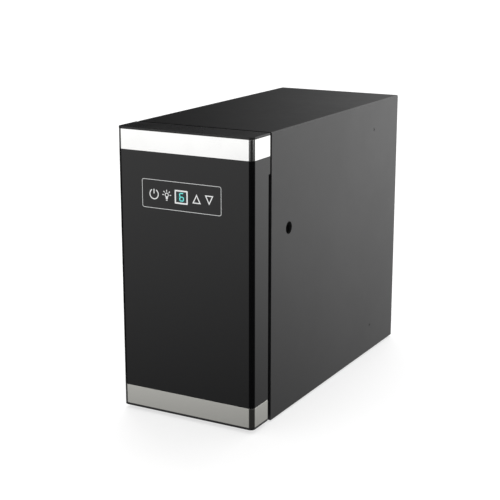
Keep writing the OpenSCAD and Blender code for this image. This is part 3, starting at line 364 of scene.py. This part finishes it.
def gloss_lacquer(name, colour, dusty):
    """A polished front, barely uneven."""
    material, n, shader = new_material(name)
    coloured(n, shader, colour, dusty, shared(n, "dust", amount=0.2).outputs["Mask"])
    handled(n, shader, 45.0, 0.035, 0.075)
    grained(n, shader, 9.0, 0.3, 0.006, 0.25)
    shader.inputs["IOR"].default_value = 1.45
    return material


def belt_finished(name, colour, darker, rough, line=0.12):
    """Bright trim with the fine lines of a belt, whose width is in millimetres."""
    material, n, shader = new_material(name)
    lines = shared(n, "brushing", line=line, length=45.0)
    coloured(n, shader, darker, colour, lines.outputs["Shade"])
    shader.inputs["Metallic"].default_value = 1.0
    handled(n, shader, 30.0, rough - 0.02, rough + 0.03)
    bumped(n, shader, lines.outputs["Height"], 0.004, 0.25)
    return material


def moulded(name, colour, rough=0.45, grain=0.5, depth=0.02, tint=0.12, coat=0.0, rubbed=0.05):
    """Injection-moulded plastic, with a fine texture and slightly uneven colour."""
    material, n, shader = new_material(name)
    other = tuple(min(1.0, c * (1 + tint) + 0.03 * tint) for c in colour)
    coloured(n, shader, colour, other, cloud(n, 40.0))
    handled(n, shader, 35.0, rough - rubbed, rough + rubbed)
    grained(n, shader, grain, 0.6, depth, 0.5)
    shader.inputs["Coat Weight"].default_value = coat
    return material


def metal(name, colour, rough, grain=0.3, depth=0.008, other=None):
    """Bare or plated metal, with patches of a second shade."""
    material, n, shader = new_material(name)
    coloured(n, shader, colour, other or tuple(c * 0.88 for c in colour), cloud(n, 6.0, 0.4, 0.6))
    shader.inputs["Metallic"].default_value = 1.0
    handled(n, shader, 18.0, rough - 0.06, rough + 0.08)
    grained(n, shader, grain, 0.5, depth, 0.4)
    return material


def galvanised(name):
    """Hot-dip zinc, whose crystals catch the light differently."""
    material, n, shader = new_material(name)
    crystals = n.add("ShaderNodeTexVoronoi", {"Vector": n.place(), "Scale": 150.0, "Randomness": 1.0})
    shade = n.add("ShaderNodeSeparateXYZ", {0: crystals.outputs["Color"]}).outputs[0]
    coloured(n, shader, (0.46, 0.48, 0.5), (0.68, 0.69, 0.7), shade)
    shader.inputs["Metallic"].default_value = 1.0
    n.link(n.ramp(shade, 0.0, 1.0, 0.3, 0.48), shader.inputs["Roughness"])
    grained(n, shader, 0.6, 0.5, 0.01, 0.4)
    return material


def foamed(name):
    """Rigid foam, whose small cells show as pits, each pit painted darker inside as painted shade."""
    material, n, shader = new_material(name)
    cells = n.add("ShaderNodeTexVoronoi", {"Vector": n.place(), "Scale": 1400.0}).outputs["Distance"]
    # The pits are painted darker than the cell walls round them: painted shade in the hollows
    coloured(n, shader, (0.62, 0.53, 0.34), (0.86, 0.8, 0.6), n.ramp(cells, 0.1, 0.6))
    n.link(n.ramp(cells, 0.1, 0.7, 0.95, 0.8), shader.inputs["Roughness"])
    bumped(n, shader, cells, 0.3, 0.8)
    return material


def circuit(name):
    """Green solder mask that stands a little proud where tracks run under it."""
    material, n, shader = new_material(name)
    bricks = n.add("ShaderNodeTexBrick", {
        "Vector": n.place(), "Scale": 240.0, "Mortar Size": 0.035,
        "Color1": (0, 0, 0, 1), "Color2": (0, 0, 0, 1), "Mortar": (1, 1, 1, 1)})
    tracks = bricks.outputs["Fac"]
    coloured(n, shader, (0.012, 0.11, 0.045), (0.03, 0.22, 0.09), tracks)
    n.link(n.ramp(tracks, 0.0, 1.0, 0.42, 0.3), shader.inputs["Roughness"])
    bumped(n, shader, tracks, 0.035, 0.6)
    return material


def tinted_glass(name, colour, rough):
    """A clear window with a tint all through."""
    material, n, shader = new_material(name)
    shader.inputs["Base Color"].default_value = (*colour, 1)
    shader.inputs["Transmission Weight"].default_value = 1.0
    shader.inputs["IOR"].default_value = 1.49
    handled(n, shader, 8.0, rough, rough + 0.03)
    return material


def lit(name, colour, glow, strength, rough=0.4):
    """A finish that shines by itself, a little unevenly: a lamp or lit digits, or a painted glow on a
    part that is no lamp.
    """
    material, n, shader = new_material(name)
    shader.inputs["Base Color"].default_value = (*colour, 1)
    coloured(n, shader, [part * 0.86 for part in glow], glow, cloud(n, 3.0), "Emission Color")
    shader.inputs["Emission Strength"].default_value = strength
    handled(n, shader, 10.0, rough, rough + 0.1)
    return material


FINISHES = {
    "black_steel": powder_coat("satin_black_powder_coat", (0.009, 0.009, 0.0095), (0.06, 0.06, 0.062),
                               0.3),
    "zinc_steel": galvanised("galvanised_sheet"),
    "foam": foamed("cut_polyurethane_foam"),
    "white_liner": moulded("white_polystyrene_liner", (0.8, 0.81, 0.81), 0.34, 1.2, 0.006, 0.012, 0.1,
                           rubbed=0.02),
    "black_plastic": moulded("black_moulding", (0.007, 0.007, 0.0075), 0.31, 0.45, 0.01, 0.15),
    "grey_plastic": moulded("grey_moulding", (0.13, 0.13, 0.135), 0.5, 0.6, 0.03),
    "lamp_white": moulded("white_lamp_housing", (0.82, 0.82, 0.8), 0.4, 0.5, 0.015, 0.03),
    "lamp_lens": lit("frosted_lamp_lens", (0.9, 0.92, 0.95), (0.88, 0.95, 1.0), 4.0),
    "aluminium": metal("extruded_aluminium", (0.74, 0.75, 0.76), 0.34, 0.5, 0.012),
    "ceramic": moulded("alumina_plate", (0.86, 0.85, 0.82), 0.6, 0.3, 0.01, 0.04),
    "steel_wire": metal("bright_plated_wire", (0.72, 0.72, 0.73), 0.2),
    "bright_screws": metal("zinc_plated_screws", (0.62, 0.62, 0.6), 0.28, 0.2, 0.01, (0.7, 0.66, 0.55)),
    "black_screws": metal("black_oxide_screws", (0.05, 0.05, 0.052), 0.4, 0.25, 0.01),
    "circuit_board": circuit("green_circuit_board"),
    "brass_standoffs": metal("turned_brass", (0.72, 0.53, 0.24), 0.25),
    "transformer_tape": moulded("yellow_winding_tape", (0.62, 0.42, 0.06), 0.35, 2.0, 0.04, 0.15),
    "capacitor_sleeve": moulded("capacitor_sleeve", (0.03, 0.04, 0.09), 0.25, 0.8, 0.01, 0.2),
    "terminal_green": moulded("green_terminal_block", (0.05, 0.3, 0.1), 0.4),
    "mains_insulation": moulded("brown_insulation", (0.2, 0.07, 0.035), 0.4, 0.4, 0.01),
    "low_voltage_insulation": moulded("red_insulation", (0.5, 0.03, 0.025), 0.4, 0.4, 0.01),
    "rubber_feet": moulded("foot_rubber", (0.016, 0.016, 0.016), 0.75, 0.5, 0.04, 0.4),
    "gloss_black": gloss_lacquer("gloss_black_door", (0.0025, 0.0025, 0.0028), (0.02, 0.02, 0.021)),
    "bright_band": belt_finished("polished_trim", (0.96, 0.96, 0.95), (0.9, 0.9, 0.89), 0.12, 0.1),
    "brushed_band": belt_finished("brushed_trim", (0.87, 0.862, 0.81), (0.79, 0.782, 0.735), 0.14),
    "gasket_rubber": moulded("gasket_rubber", (0.012, 0.012, 0.012), 0.6, 0.5, 0.02, 0.3),
    "magnet": moulded("bonded_ferrite", (0.05, 0.045, 0.042), 0.7, 0.3, 0.02),
    # The white legend is given a faint painted glow so that it reads brighter, though it is no lamp
    "legend_white": lit("white_legend", (0.7, 0.71, 0.71), (1.0, 1.0, 1.0), 0.2),
    "display_glass": tinted_glass("display_window", (0.1, 0.2, 0.21), 0.03),
    "display_digit": lit("lit_digit", (0.1, 0.4, 0.4), (0.34, 0.9, 0.8), 5.0),
    # The display's face is given a faint teal painted glow, though it is no lamp; only the digits are lit
    "display_body": lit("display_face", (0.01, 0.03, 0.035), (0.0, 0.045, 0.06), 0.5, 0.3),
    "touch_foam": moulded("touch_pad_foam", (0.06, 0.06, 0.06), 0.9, 0.8, 0.1),
}


# ---- Shapes ----

# How near two corners are merged, and the angles between faces that count as flat and as sharp
MERGED = 2e-6
FLAT = radians(0.5)
SHARP = radians(28.0)


def finish(piece, node):
    """Gives a finished piece the finish of the CAD node that it replaces, rides it on that node's body
    and hides the node.
    """
    if not piece.data.materials:
        piece.data.materials.append(FINISHES[SLOT_OF[node]])
    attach(piece, BODY_OF[node])
    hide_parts(node)
    return piece


def new_piece(name, mesh):
    """Puts a mesh into the scene under a name."""
    piece = bpy.data.objects.new(name, mesh)
    bpy.context.scene.collection.objects.link(piece)
    return piece


def plain_mesh(piece):
    """Works a piece's modifiers into its mesh."""
    depsgraph = bpy.context.evaluated_depsgraph_get()
    mesh = bpy.data.meshes.new_from_object(piece.evaluated_get(depsgraph), depsgraph=depsgraph)
    piece.modifiers.clear()
    piece.data = mesh
    return piece


def even_normals(piece):
    """Smooth shading that keeps the large faces flat."""
    for polygon in piece.data.polygons:
        polygon.use_smooth = True
    piece.modifiers.new("even", "WEIGHTED_NORMAL").weight = 100
    return plain_mesh(piece)


def joined(node):
    """A CAD node's mesh, whose triangles are loose, with its corners merged."""
    bm = bmesh.new()
    bm.from_mesh(frame["nodes"][node].data)
    bmesh.ops.remove_doubles(bm, verts=bm.verts, dist=MERGED)
    return bm


def as_mesh(bm, name):
    """Turns what was built into a mesh and lets go of it."""
    mesh = bpy.data.meshes.new(name)
    bm.to_mesh(mesh)
    bm.free()
    return mesh


def softened(node, name, width, segments):
    """A CAD node with its edges rounded by a width in millimetres, shaded smoothly."""
    bm = joined(node)
    bmesh.ops.dissolve_limit(bm, angle_limit=FLAT, verts=bm.verts, edges=bm.edges)
    sharp = [edge for edge in bm.edges if len(edge.link_faces) == 2 and edge.calc_face_angle(0.0) > SHARP]
    bmesh.ops.bevel(bm, geom=sharp, offset=width * MM, offset_type="OFFSET", segments=segments,
                    profile=0.5, affect="EDGES", clamp_overlap=True)
    finish(even_normals(new_piece(name, as_mesh(bm, name))), node)


def lumps(node):
    """The boxes of a CAD node's separate solids, as (lowest corner, highest corner)."""
    bm = joined(node)
    left, found = set(bm.verts), []
    while left:
        solid, waiting = [], [left.pop()]
        while waiting:
            vert = waiting.pop()
            solid.append(vert.co)
            near = {edge.other_vert(vert) for edge in vert.link_edges} & left
            left -= near
            waiting.extend(near)
        found.append(tuple(Vector(pick(axis) for axis in zip(*solid)) for pick in (min, max)))
    bm.free()
    return sorted(found, key=lambda box: tuple(round(number, 5) for number in box[0]))


def lathed(name, profile, steps=40):
    """Turns a profile of (radius, height) pairs round Z. Radius 0 closes an end."""
    bm = bmesh.new()
    angles = [2 * pi * k / steps for k in range(steps)]
    rings = []
    for radius, height in profile:
        if radius == 0:
            rings.append([bm.verts.new((0, 0, height))])
        else:
            rings.append([bm.verts.new((radius * cos(a), radius * sin(a), height)) for a in angles])
    for low, high in zip(rings, rings[1:]):
        for k in range(steps):
            below = [low[k % len(low)], low[(k + 1) % len(low)]]
            above = [high[(k + 1) % len(high)], high[k % len(high)]]
            bm.faces.new(list(dict.fromkeys(below + above)))
    bmesh.ops.recalc_face_normals(bm, faces=bm.faces)
    return as_mesh(bm, name)


def cut(mesh, cutter):
    """Takes one mesh out of another."""
    body, tool = new_piece("body", mesh), new_piece("tool", cutter)
    modifier = body.modifiers.new("cut", "BOOLEAN")
    modifier.operation = "DIFFERENCE"
    modifier.solver = "EXACT"
    modifier.use_self = True
    modifier.object = tool
    result = plain_mesh(body).data
    for piece in (body, tool):
        bpy.data.objects.remove(piece)
    return result


def cross_recess(span, depth):
    """The cutter for a cross recess in a face at 0, its slots narrowing towards their floor."""
    bm = bmesh.new()
    half = span * 0.16
    for turn in (0, pi / 2):
        corners = []
        for height, reach in ((-depth, 0.72 * span), (depth, 1.1 * span)):
            for x, y in ((-reach, -half), (reach, -half), (reach, half), (-reach, half)):
                corners.append(bm.verts.new(Matrix.Rotation(turn, 3, "Z") @ Vector((x, y, height))))
        low, high = corners[:4], corners[4:]
        bm.faces.new(low[::-1])
        bm.faces.new(high)
        for k in range(4):
            bm.faces.new((low[k], low[(k + 1) % 4], high[(k + 1) % 4], high[k]))
    bmesh.ops.recalc_face_normals(bm, faces=bm.faces)
    return as_mesh(bm, "recess")


def screw_mesh(head_r, head_h, shank_r, length, sunk=False):
    """A screw along Z, its head's top at 0, all sizes in metres."""
    shank = [(0, -length), (shank_r * 0.5, -length), (shank_r, -length + shank_r), (shank_r, -head_h)]
    if sunk:
        head = [(head_r * 0.97, -head_h * 0.12), (head_r, -head_h * 0.05), (head_r * 0.96, 0)]
    else:
        domed = head_h * 0.55
        climb = [radians(angle) for angle in (0, 18, 36, 54, 70, 82)]
        head = [(head_r * 0.94, -head_h), (head_r, -head_h * 0.92)]
        head += [(head_r * cos(a), -domed + domed * sin(a)) for a in climb]
    screw = lathed("screw", shank + head + [(0, 0)], 28)
    return cut(screw, cross_recess(head_r * 0.62, head_h * 0.55))


# ---- What repeats or follows a path ----

class Tree(Nodes):
    """A Geometry Nodes tree with named inputs."""

    def __init__(self, name, inputs):
        super().__init__(bpy.data.node_groups.new(name, "GeometryNodeTree"))
        face = self.tree.interface
        face.new_socket("Geometry", in_out="INPUT", socket_type="NodeSocketGeometry")
        for socket, (kind, value) in inputs.items():
            item = face.new_socket(socket, in_out="INPUT", socket_type="NodeSocket" + kind)
            if value is not None:
                item.default_value = value
        face.new_socket("Geometry", in_out="OUTPUT", socket_type="NodeSocketGeometry")
        self.given = self.add("NodeGroupInput").outputs

    def end(self, geometry):
        """Makes real meshes of the instances, gives them their finish and ends the tree."""
        real = self.add("GeometryNodeRealizeInstances", {"Geometry": geometry}).outputs[0]
        done = self.add("GeometryNodeSetMaterial", {"Geometry": real, "Material": self.given["Finish"]})
        self.add("NodeGroupOutput", {"Geometry": done.outputs[0]})
        return self.tree

    def joined(self, *parts):
        """Several geometries as one."""
        join = self.add("GeometryNodeJoinGeometry")
        for part in parts:
            self.link(part, join.inputs[0])
        return join.outputs[0]

    def turns(self, angle):
        """A rotation about Z."""
        spin = self.add("ShaderNodeCombineXYZ", {2: angle}).outputs[0]
        return self.add("FunctionNodeEulerToRotation", {0: spin}).outputs[0]

    def centre(self, count):
        """So many points, all at the middle."""
        return self.add("GeometryNodeMeshLine", {"Count": count, "Offset": (0, 0, 0)}).outputs[0]


def grown(name, tree, mesh, **values):
    """Runs a tree on a mesh and gives the result as a plain piece."""
    piece = new_piece(name, mesh)
    modifier = piece.modifiers.new("grow", "NODES")
    modifier.node_group = tree
    for item in tree.interface.items_tree:
        key = item.name.lower().replace(" ", "_")
        if item.in_out == "INPUT" and key in values:
            modifier[item.identifier] = values[key]
    return plain_mesh(piece)


def spreading_tree():
    """Copies one item to every point, aimed by the point's direction and turned at random about it."""
    t = Tree("spread", {
        "Item": ("Object", None), "Size": ("Float", 1.0), "Seed": ("Int", 0),
        "Turn": ("Float", pi), "Finish": ("Material", None)})
    item = t.add("GeometryNodeObjectInfo", {"Object": t.given["Item"]}).outputs["Geometry"]
    aim = t.add("GeometryNodeInputNamedAttribute", {"Name": "aim"}, data_type="FLOAT_VECTOR")
    aim = aim.outputs["Attribute"]
    facing = t.add("FunctionNodeAlignRotationToVector", {"Vector": aim}, axis="Z").outputs[0]
    chance = t.add("FunctionNodeRandomValue", data_type="FLOAT")
    t.link(t.given["Turn"], chance.inputs[3])
    t.link(t.given["Seed"], chance.inputs["Seed"])
    turn = t.turns(chance.outputs[1])
    both = t.add("FunctionNodeRotateRotation", {0: facing, 1: turn}, rotation_space="LOCAL").outputs[0]
    copies = t.add("GeometryNodeInstanceOnPoints", {
        "Points": t.given["Geometry"], "Instance": item, "Rotation": both, "Scale": t.given["Size"]})
    return t.end(copies.outputs[0])


def guard_tree():
    """Round wires a step apart, and straight wires that carry them, in the XY plane."""
    t = Tree("wire_guard", {
        "Rings": ("Int", 4), "First radius": ("Float", 0.012), "Step": ("Float", 0.01),
        "Wire": ("Float", 0.0007), "Spokes": ("Int", 4), "Spoke start": ("Float", 0.01),
        "Spoke end": ("Float", 0.05), "Eye": ("Float", 0.0035), "Lift": ("Float", 0.0012),
        "Finish": ("Material", None)})
    g = t.given
    index = t.add("GeometryNodeInputIndex").outputs[0]
    raised = t.add("ShaderNodeCombineXYZ", {2: g["Lift"]}).outputs[0]
    at = t.add("GeometryNodeSetPosition", {"Geometry": t.centre(g["Rings"]), "Offset": raised}).outputs[0]
    radius = t.math("MULTIPLY_ADD", index, g["Step"], g["First radius"])
    circle = t.add("GeometryNodeCurvePrimitiveCircle", {"Resolution": 72, "Radius": 1.0}).outputs[0]
    rings = t.add("GeometryNodeInstanceOnPoints", {"Points": at, "Instance": circle, "Scale": radius})
    rings = t.add("GeometryNodeRealizeInstances", {"Geometry": rings.outputs[0]}).outputs[0]
    # A spoke with the eye that its screw passes through, along X
    start = t.add("ShaderNodeCombineXYZ", {0: g["Spoke start"]}).outputs[0]
    end = t.add("ShaderNodeCombineXYZ", {0: t.math("SUBTRACT", g["Spoke end"], g["Eye"])}).outputs[0]
    line = t.add("GeometryNodeCurvePrimitiveLine", {"Start": start, "End": end}).outputs[0]
    eye = t.add("GeometryNodeCurvePrimitiveCircle", {"Resolution": 28, "Radius": g["Eye"]}).outputs[0]
    middle = t.add("ShaderNodeCombineXYZ", {0: g["Spoke end"]}).outputs[0]
    eye = t.add("GeometryNodeTransform", {"Geometry": eye, "Translation": middle}).outputs[0]
    apart = t.math("DIVIDE", 2 * pi, g["Spokes"])
    angle = t.math("MULTIPLY_ADD", index, apart, t.math("MULTIPLY", apart, 0.5))
    spokes = t.add("GeometryNodeInstanceOnPoints", {
        "Points": t.centre(g["Spokes"]), "Instance": t.joined(line, eye), "Rotation": t.turns(angle)})
    spokes = t.add("GeometryNodeRealizeInstances", {"Geometry": spokes.outputs[0]}).outputs[0]
    section = t.add("GeometryNodeCurvePrimitiveCircle", {"Resolution": 10, "Radius": g["Wire"]})
    solid = t.add("GeometryNodeCurveToMesh", {
        "Curve": t.joined(rings, spokes), "Profile Curve": section.outputs[0], "Fill Caps": True})
    smooth = t.add("GeometryNodeSetShadeSmooth", {"Geometry": solid.outputs[0]})
    return t.end(smooth.outputs[0])


def blades_tree():
    """Pitched, hollow-curved fan blades round Z, each from a grid of radius by chord."""
    t = Tree("fan_blades", {
        "Blades": ("Int", 7), "Root": ("Float", 0.016), "Tip": ("Float", 0.043),
        "Low": ("Float", 0.0), "High": ("Float", 0.02), "Sweep": ("Float", 0.78),
        "Camber": ("Float", 0.0022), "Thickness": ("Float", 0.0012), "Finish": ("Material", None)})
    g = t.given
    grid = t.add("GeometryNodeMeshGrid", {
        "Size X": 1.0, "Size Y": 1.0, "Vertices X": 9, "Vertices Y": 11}).outputs[0]
    place = t.add("GeometryNodeInputPosition").outputs[0]
    x, y, _ = t.add("ShaderNodeSeparateXYZ", {0: place}).outputs
    out = t.math("ADD", x, 0.5)
    along = t.math("ADD", y, 0.5)
    radius = t.math("MULTIPLY_ADD", out, t.math("SUBTRACT", g["Tip"], g["Root"]), g["Root"])
    # The chord turns through the sweep as it climbs, and the tip leads a little
    angle = t.math("MULTIPLY_ADD", along, g["Sweep"], t.math("MULTIPLY", out, 0.28))
    rise = t.math("MULTIPLY_ADD", along, t.math("SUBTRACT", g["High"], g["Low"]), g["Low"])
    hollow = t.math("SINE", t.math("MULTIPLY", along, pi))
    height = t.math("MULTIPLY_ADD", hollow, g["Camber"], rise)
    new_place = t.add("ShaderNodeCombineXYZ", {
        0: t.math("MULTIPLY", radius, t.math("COSINE", angle)),
        1: t.math("MULTIPLY", radius, t.math("SINE", angle)),
        2: height,
    }).outputs[0]
    sheet = t.add("GeometryNodeSetPosition", {"Geometry": grid, "Position": new_place}).outputs[0]
    thick = t.add("GeometryNodeExtrudeMesh", {
        "Mesh": sheet, "Offset Scale": g["Thickness"], "Individual": False}).outputs[0]
    under = t.add("GeometryNodeFlipFaces", {"Mesh": sheet}).outputs[0]
    blade = t.add("GeometryNodeMergeByDistance", {"Geometry": t.joined(thick, under), "Distance": 1e-6})
    blade = t.add("GeometryNodeSetShadeSmooth", {"Geometry": blade.outputs[0]}).outputs[0]
    index = t.add("GeometryNodeInputIndex").outputs[0]
    turn = t.turns(t.math("MULTIPLY", index, t.math("DIVIDE", 2 * pi, g["Blades"])))
    ring = t.add("GeometryNodeInstanceOnPoints", {
        "Points": t.centre(g["Blades"]), "Instance": blade, "Rotation": turn}).outputs[0]
    return t.end(t.joined(g["Geometry"], ring))


def frame_tree():
    """A section carried round a rectangle with round corners, in the XZ plane."""
    t = Tree("carried_section", {
        "Width": ("Float", 0.17), "Height": ("Float", 0.35), "Corner": ("Float", 0.006),
        "Section": ("Object", None), "Finish": ("Material", None)})
    g = t.given
    path = t.add("GeometryNodeCurvePrimitiveQuadrilateral", {"Width": g["Width"], "Height": g["Height"]})
    # Input 1 is the number of steps in a corner, and input 2 its radius
    corner = {"Curve": path.outputs[0], 1: 6, 2: g["Corner"]}
    fillet = t.add("GeometryNodeFilletCurve", corner, mode="POLY")
    section = t.add("GeometryNodeObjectInfo", {"Object": g["Section"]}).outputs["Geometry"]
    section = t.add("GeometryNodeMeshToCurve", {"Mesh": section}).outputs[0]
    solid = t.add("GeometryNodeCurveToMesh", {"Curve": fillet.outputs[0], "Profile Curve": section})
    return t.end(solid.outputs[0])


def points_mesh(places, aims):
    """Loose points, each with the direction that its item faces."""
    mesh = bpy.data.meshes.new("places")
    mesh.from_pydata([tuple(p) for p in places], [], [])
    aim = mesh.attributes.new("aim", "FLOAT_VECTOR", "POINT")
    for k, direction in enumerate(aims):
        aim.data[k].vector = direction
    return mesh


SPREAD = spreading_tree()


def spread(name, item, places, aims, node, seed):
    """Copies of one item, riding as one piece on the body of the CAD node that they replace."""
    source = new_piece(name + "_item", item)
    piece = grown(name, SPREAD, points_mesh(places, aims), item=source, size=1.0, seed=seed, turn=pi,
                  finish=FINISHES[SLOT_OF[node]])
    bpy.data.objects.remove(source)
    finish(even_normals(piece), node)


# ---- Pieces ----

# Half the width of every screw's shank, in millimetres
SHANK_R = 1.5


def facing_back(place):
    """Turns what was made along Z to face backwards, and moves it to its place."""
    return Matrix.Translation(place) @ Matrix.Rotation(-pi / 2, 4, "X")


def screws(node, name, aim, head_r, head_h, seed, sunk=False):
    """Screws in place of a CAD node's, one for each solid. aim(lo, hi) is the way that the head faces."""
    places, aims = [], []
    for lo, hi in lumps(node):
        direction = aim(lo, hi)
        axis = max(range(3), key=lambda i: abs(direction[i]))
        place = (lo + hi) / 2
        place[axis] = hi[axis] if direction[axis] > 0 else lo[axis]
        length = hi[axis] - lo[axis]
        places.append(place)
        aims.append(direction)
    item = screw_mesh(head_r * MM, head_h * MM, SHANK_R * MM, length, sunk)
    spread(name, item, places, aims, node, seed)


def outwards(lo, hi):
    """To the right on the right side of the cabinet, and to the left on the left."""
    return Vector((1, 0, 0)) if lo.x > 0 else Vector((-1, 0, 0))


def add_screws():
    screws("rear_screws", "rear_panel_screws", lambda lo, hi: BACKWARDS, 2.8, 1.75, 1)
    screws("fan_screws", "fan_guard_screws", lambda lo, hi: BACKWARDS, 2.8, 1.75, 2)
    screws("hinge_screws", "hinge_bracket_screws", lambda lo, hi: -BACKWARDS, 2.8, 1.3, 3, True)
    screws("cover_screws", "cover_side_screws", outwards, 2.3, 0.9, 4, True)
    screws("foot_screws", "foot_fixing_screws", lambda lo, hi: -UP, 2.8, 1.1, 5)


def add_feet():
    """Round rubber feet with a groove underneath and a sunk hole for the screw."""
    boxes = lumps("feet")
    lo, hi = boxes[0]
    r, h = (hi.x - lo.x) / 2, hi.z - lo.z
    hole, sunk, step = 1.6 * MM, 3.4 * MM, 1.6 * MM
    profile = [(hole, h), (r * 0.9, h), (r * 0.97, h * 0.86), (r, h * 0.6), (r * 0.98, h * 0.16),
               (r * 0.93, 0.0), (r * 0.66, 0.0), (r * 0.62, h * 0.1), (r * 0.5, h * 0.1), (r * 0.46, 0.0),
               (sunk, 0.0), (sunk, step), (hole, step), (hole, h)]
    places = [Vector(((a.x + b.x) / 2, (a.y + b.y) / 2, a.z)) for a, b in boxes]
    spread("rubber_foot_set", lathed("foot", profile, 48), places, [UP] * len(places), "feet", 6)


def rotor(node, name):
    """A fan's rotor: hub with a rounded face, shaft and hollow-curved blades."""
    lo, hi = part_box(node)
    tip = (hi.x - lo.x) / 2
    hub = tip * 0.4
    wall = 1.6 * MM
    low, high = 2.2 * MM, hi.y - lo.y
    dished = high - 0.35 * MM
    profile = [(0, high - wall * 0.6), (hub - wall, high - wall * 0.6), (hub - wall, low), (hub, low),
               (hub, high - 1.6 * MM), (hub * 0.975, high - 0.6 * MM), (hub * 0.93, high - 0.12 * MM),
               (hub * 0.86, high), (hub * 0.5, high), (hub * 0.47, dished), (hub * 0.2, dished),
               (0, dished)]
    shaft = [(0, 0), (1.2 * MM, 0), (1.5 * MM, 0.4 * MM), (1.5 * MM, high - wall), (0, high - wall)]
    bm = bmesh.new()
    bm.from_mesh(lathed("hub", profile, 56))
    bm.from_mesh(lathed("shaft", shaft, 20))
    piece = grown(name, blades_tree(), as_mesh(bm, "hub_and_shaft"), blades=7, root=hub - 0.3 * MM,
                  tip=tip - 0.1 * MM, low=low + 0.9 * MM, high=high - 3.4 * MM, sweep=0.8,
                  camber=1.6 * MM, thickness=1.1 * MM, finish=FINISHES[SLOT_OF[node]])
    centre = (lo + hi) / 2
    piece.data.transform(facing_back((centre.x, lo.y, centre.z)))
    finish(even_normals(piece), node)


def add_guard():
    """The wire guard over the rear fan, its spokes ending in eyes round the fan's screws."""
    lo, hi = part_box("fan_guard")
    hub = (lo + hi) / 2
    near, far = lumps("fan_screws")[0]
    screw = (near + far) / 2
    reach = Vector((screw.x - hub.x, screw.z - hub.z)).length
    wire = 0.7 * MM
    piece = grown("wire_fan_guard", guard_tree(), bpy.data.meshes.new("guard"), rings=4,
                  first_radius=12 * MM, step=10 * MM, wire=wire, spokes=4, spoke_start=11 * MM,
                  spoke_end=reach, eye=3.4 * MM, lift=wire * 1.6, finish=FINISHES[SLOT_OF["fan_guard"]])
    piece.data.transform(facing_back((hub.x, lo.y + wire + 0.05 * MM, hub.z)))
    finish(piece, "fan_guard")


def add_gasket():
    """A magnetic door seal: a foot on the door, soft bellows and a flat face with a lip each side."""
    lo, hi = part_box("gasket")
    width, thick = 14 * MM, hi.y - lo.y
    # Across the seal from its outer edge, and out from the door
    half = [(7.0, 0.0), (7.0, 0.5), (6.2, 1.15), (4.9, 1.3), (5.6, 1.75), (4.8, 2.25), (6.6, 2.9),
            (7.0, 3.5), (6.7, 4.0), (5.2, 3.72), (4.6, 4.1)]
    stretch = thick / (4.1 * MM)
    loop = half + [(-x, y) for x, y in reversed(half)]
    count = len(loop)
    corners = [(x * MM, y * MM * stretch, 0) for x, y in loop]
    mesh = bpy.data.meshes.new("seal_section")
    mesh.from_pydata(corners, [(k, (k + 1) % count) for k in range(count)], [])
    section = new_piece("seal_section", mesh)
    piece = grown("door_seal", frame_tree(), bpy.data.meshes.new("seal"), width=hi.x - lo.x - width,
                  height=hi.z - lo.z - width, corner=7 * MM, section=section,
                  finish=FINISHES[SLOT_OF["gasket"]])
    bpy.data.objects.remove(section)
    middle = ((lo.x + hi.x) / 2, lo.y, (lo.z + hi.z) / 2)
    bm = bmesh.new()
    bm.from_mesh(piece.data)
    bm.transform(Matrix.Translation(middle) @ Matrix.Rotation(pi / 2, 4, "X"))
    # The section may have been carried round facing the door, and is then turned to face away
    if min(vert.co.y for vert in bm.verts) < lo.y - 0.01 * MM:
        for vert in bm.verts:
            vert.co.y = 2 * lo.y - vert.co.y
    bmesh.ops.recalc_face_normals(bm, faces=bm.faces)
    bm.to_mesh(piece.data)
    bm.free()
    finish(even_normals(piece), "gasket")


SOFTENED = {
    # node: (piece, width of the rounding in mm, segments)
    "outer_cover": ("cabinet_cover", 0.3, 2),
    "rear_panel": ("machine_room_panel", 0.25, 2),
    "base_pan": ("base_sheet", 0.2, 1),
    "door_skin": ("door_front", 0.3, 2),
    "upper_band": ("upper_trim_band", 0.25, 2),
    "lower_band": ("lower_trim_band", 0.25, 2),
    "top_cap": ("door_top_cap", 0.5, 3),
    "bottom_cap": ("door_bottom_cap", 0.5, 3),
    "door_frame": ("door_inner_frame", 0.2, 1),
    "door_liner": ("door_plug_liner", 0.9, 3),
    "inner_liner": ("chamber_liner", 0.7, 3),
    "hose_bush": ("hose_sleeve", 0.5, 3),
    "drip_tray": ("milk_drip_tray", 0.6, 3),
    "lamp_housing": ("lamp_body", 0.4, 2),
    "lamp_lens": ("lamp_cover", 0.5, 3),
    "temperature_probe": ("probe", 0.6, 3),
    "air_baffle": ("cold_air_baffle", 0.35, 2),
    "cold_sink": ("cold_fins", 0.15, 1),
    "hot_sink": ("hot_fins", 0.15, 1),
    "cold_fan_frame": ("cold_fan_housing", 0.4, 2),
    "hot_fan_frame": ("hot_fan_housing", 0.4, 2),
    "mains_inlet": ("mains_socket", 0.4, 2),
    "inlet_pins": ("socket_blades", 0.35, 2),
    "rocker_bezel": ("rocker_surround", 0.35, 2),
    "rocker": ("rocker_button", 0.5, 3),
    "upper_hinge_bracket": ("upper_hinge_arm", 0.3, 2),
    "lower_hinge_bracket": ("lower_hinge_arm", 0.3, 2),
    "hinge_pins": ("hinge_pin_pair", 0.35, 2),
    "hinge_blocks": ("hinge_bearing_blocks", 0.4, 2),
}


def main():
    add_camera()
    add_surroundings()
    add_floor()
    for node, (name, width, segments) in SOFTENED.items():
        softened(node, name, width, segments)
    add_screws()
    add_feet()
    rotor("hot_fan_rotor", "hot_fan_blades")
    rotor("cold_fan_rotor", "cold_fan_blades")
    add_guard()
    add_gasket()
    for node, cad in frame["nodes"].items():
        for slot in cad.material_slots:
            slot.material = FINISHES[SLOT_OF[node]]
        if not cad.material_slots:
            cad.data.materials.append(FINISHES[SLOT_OF[node]])


main()
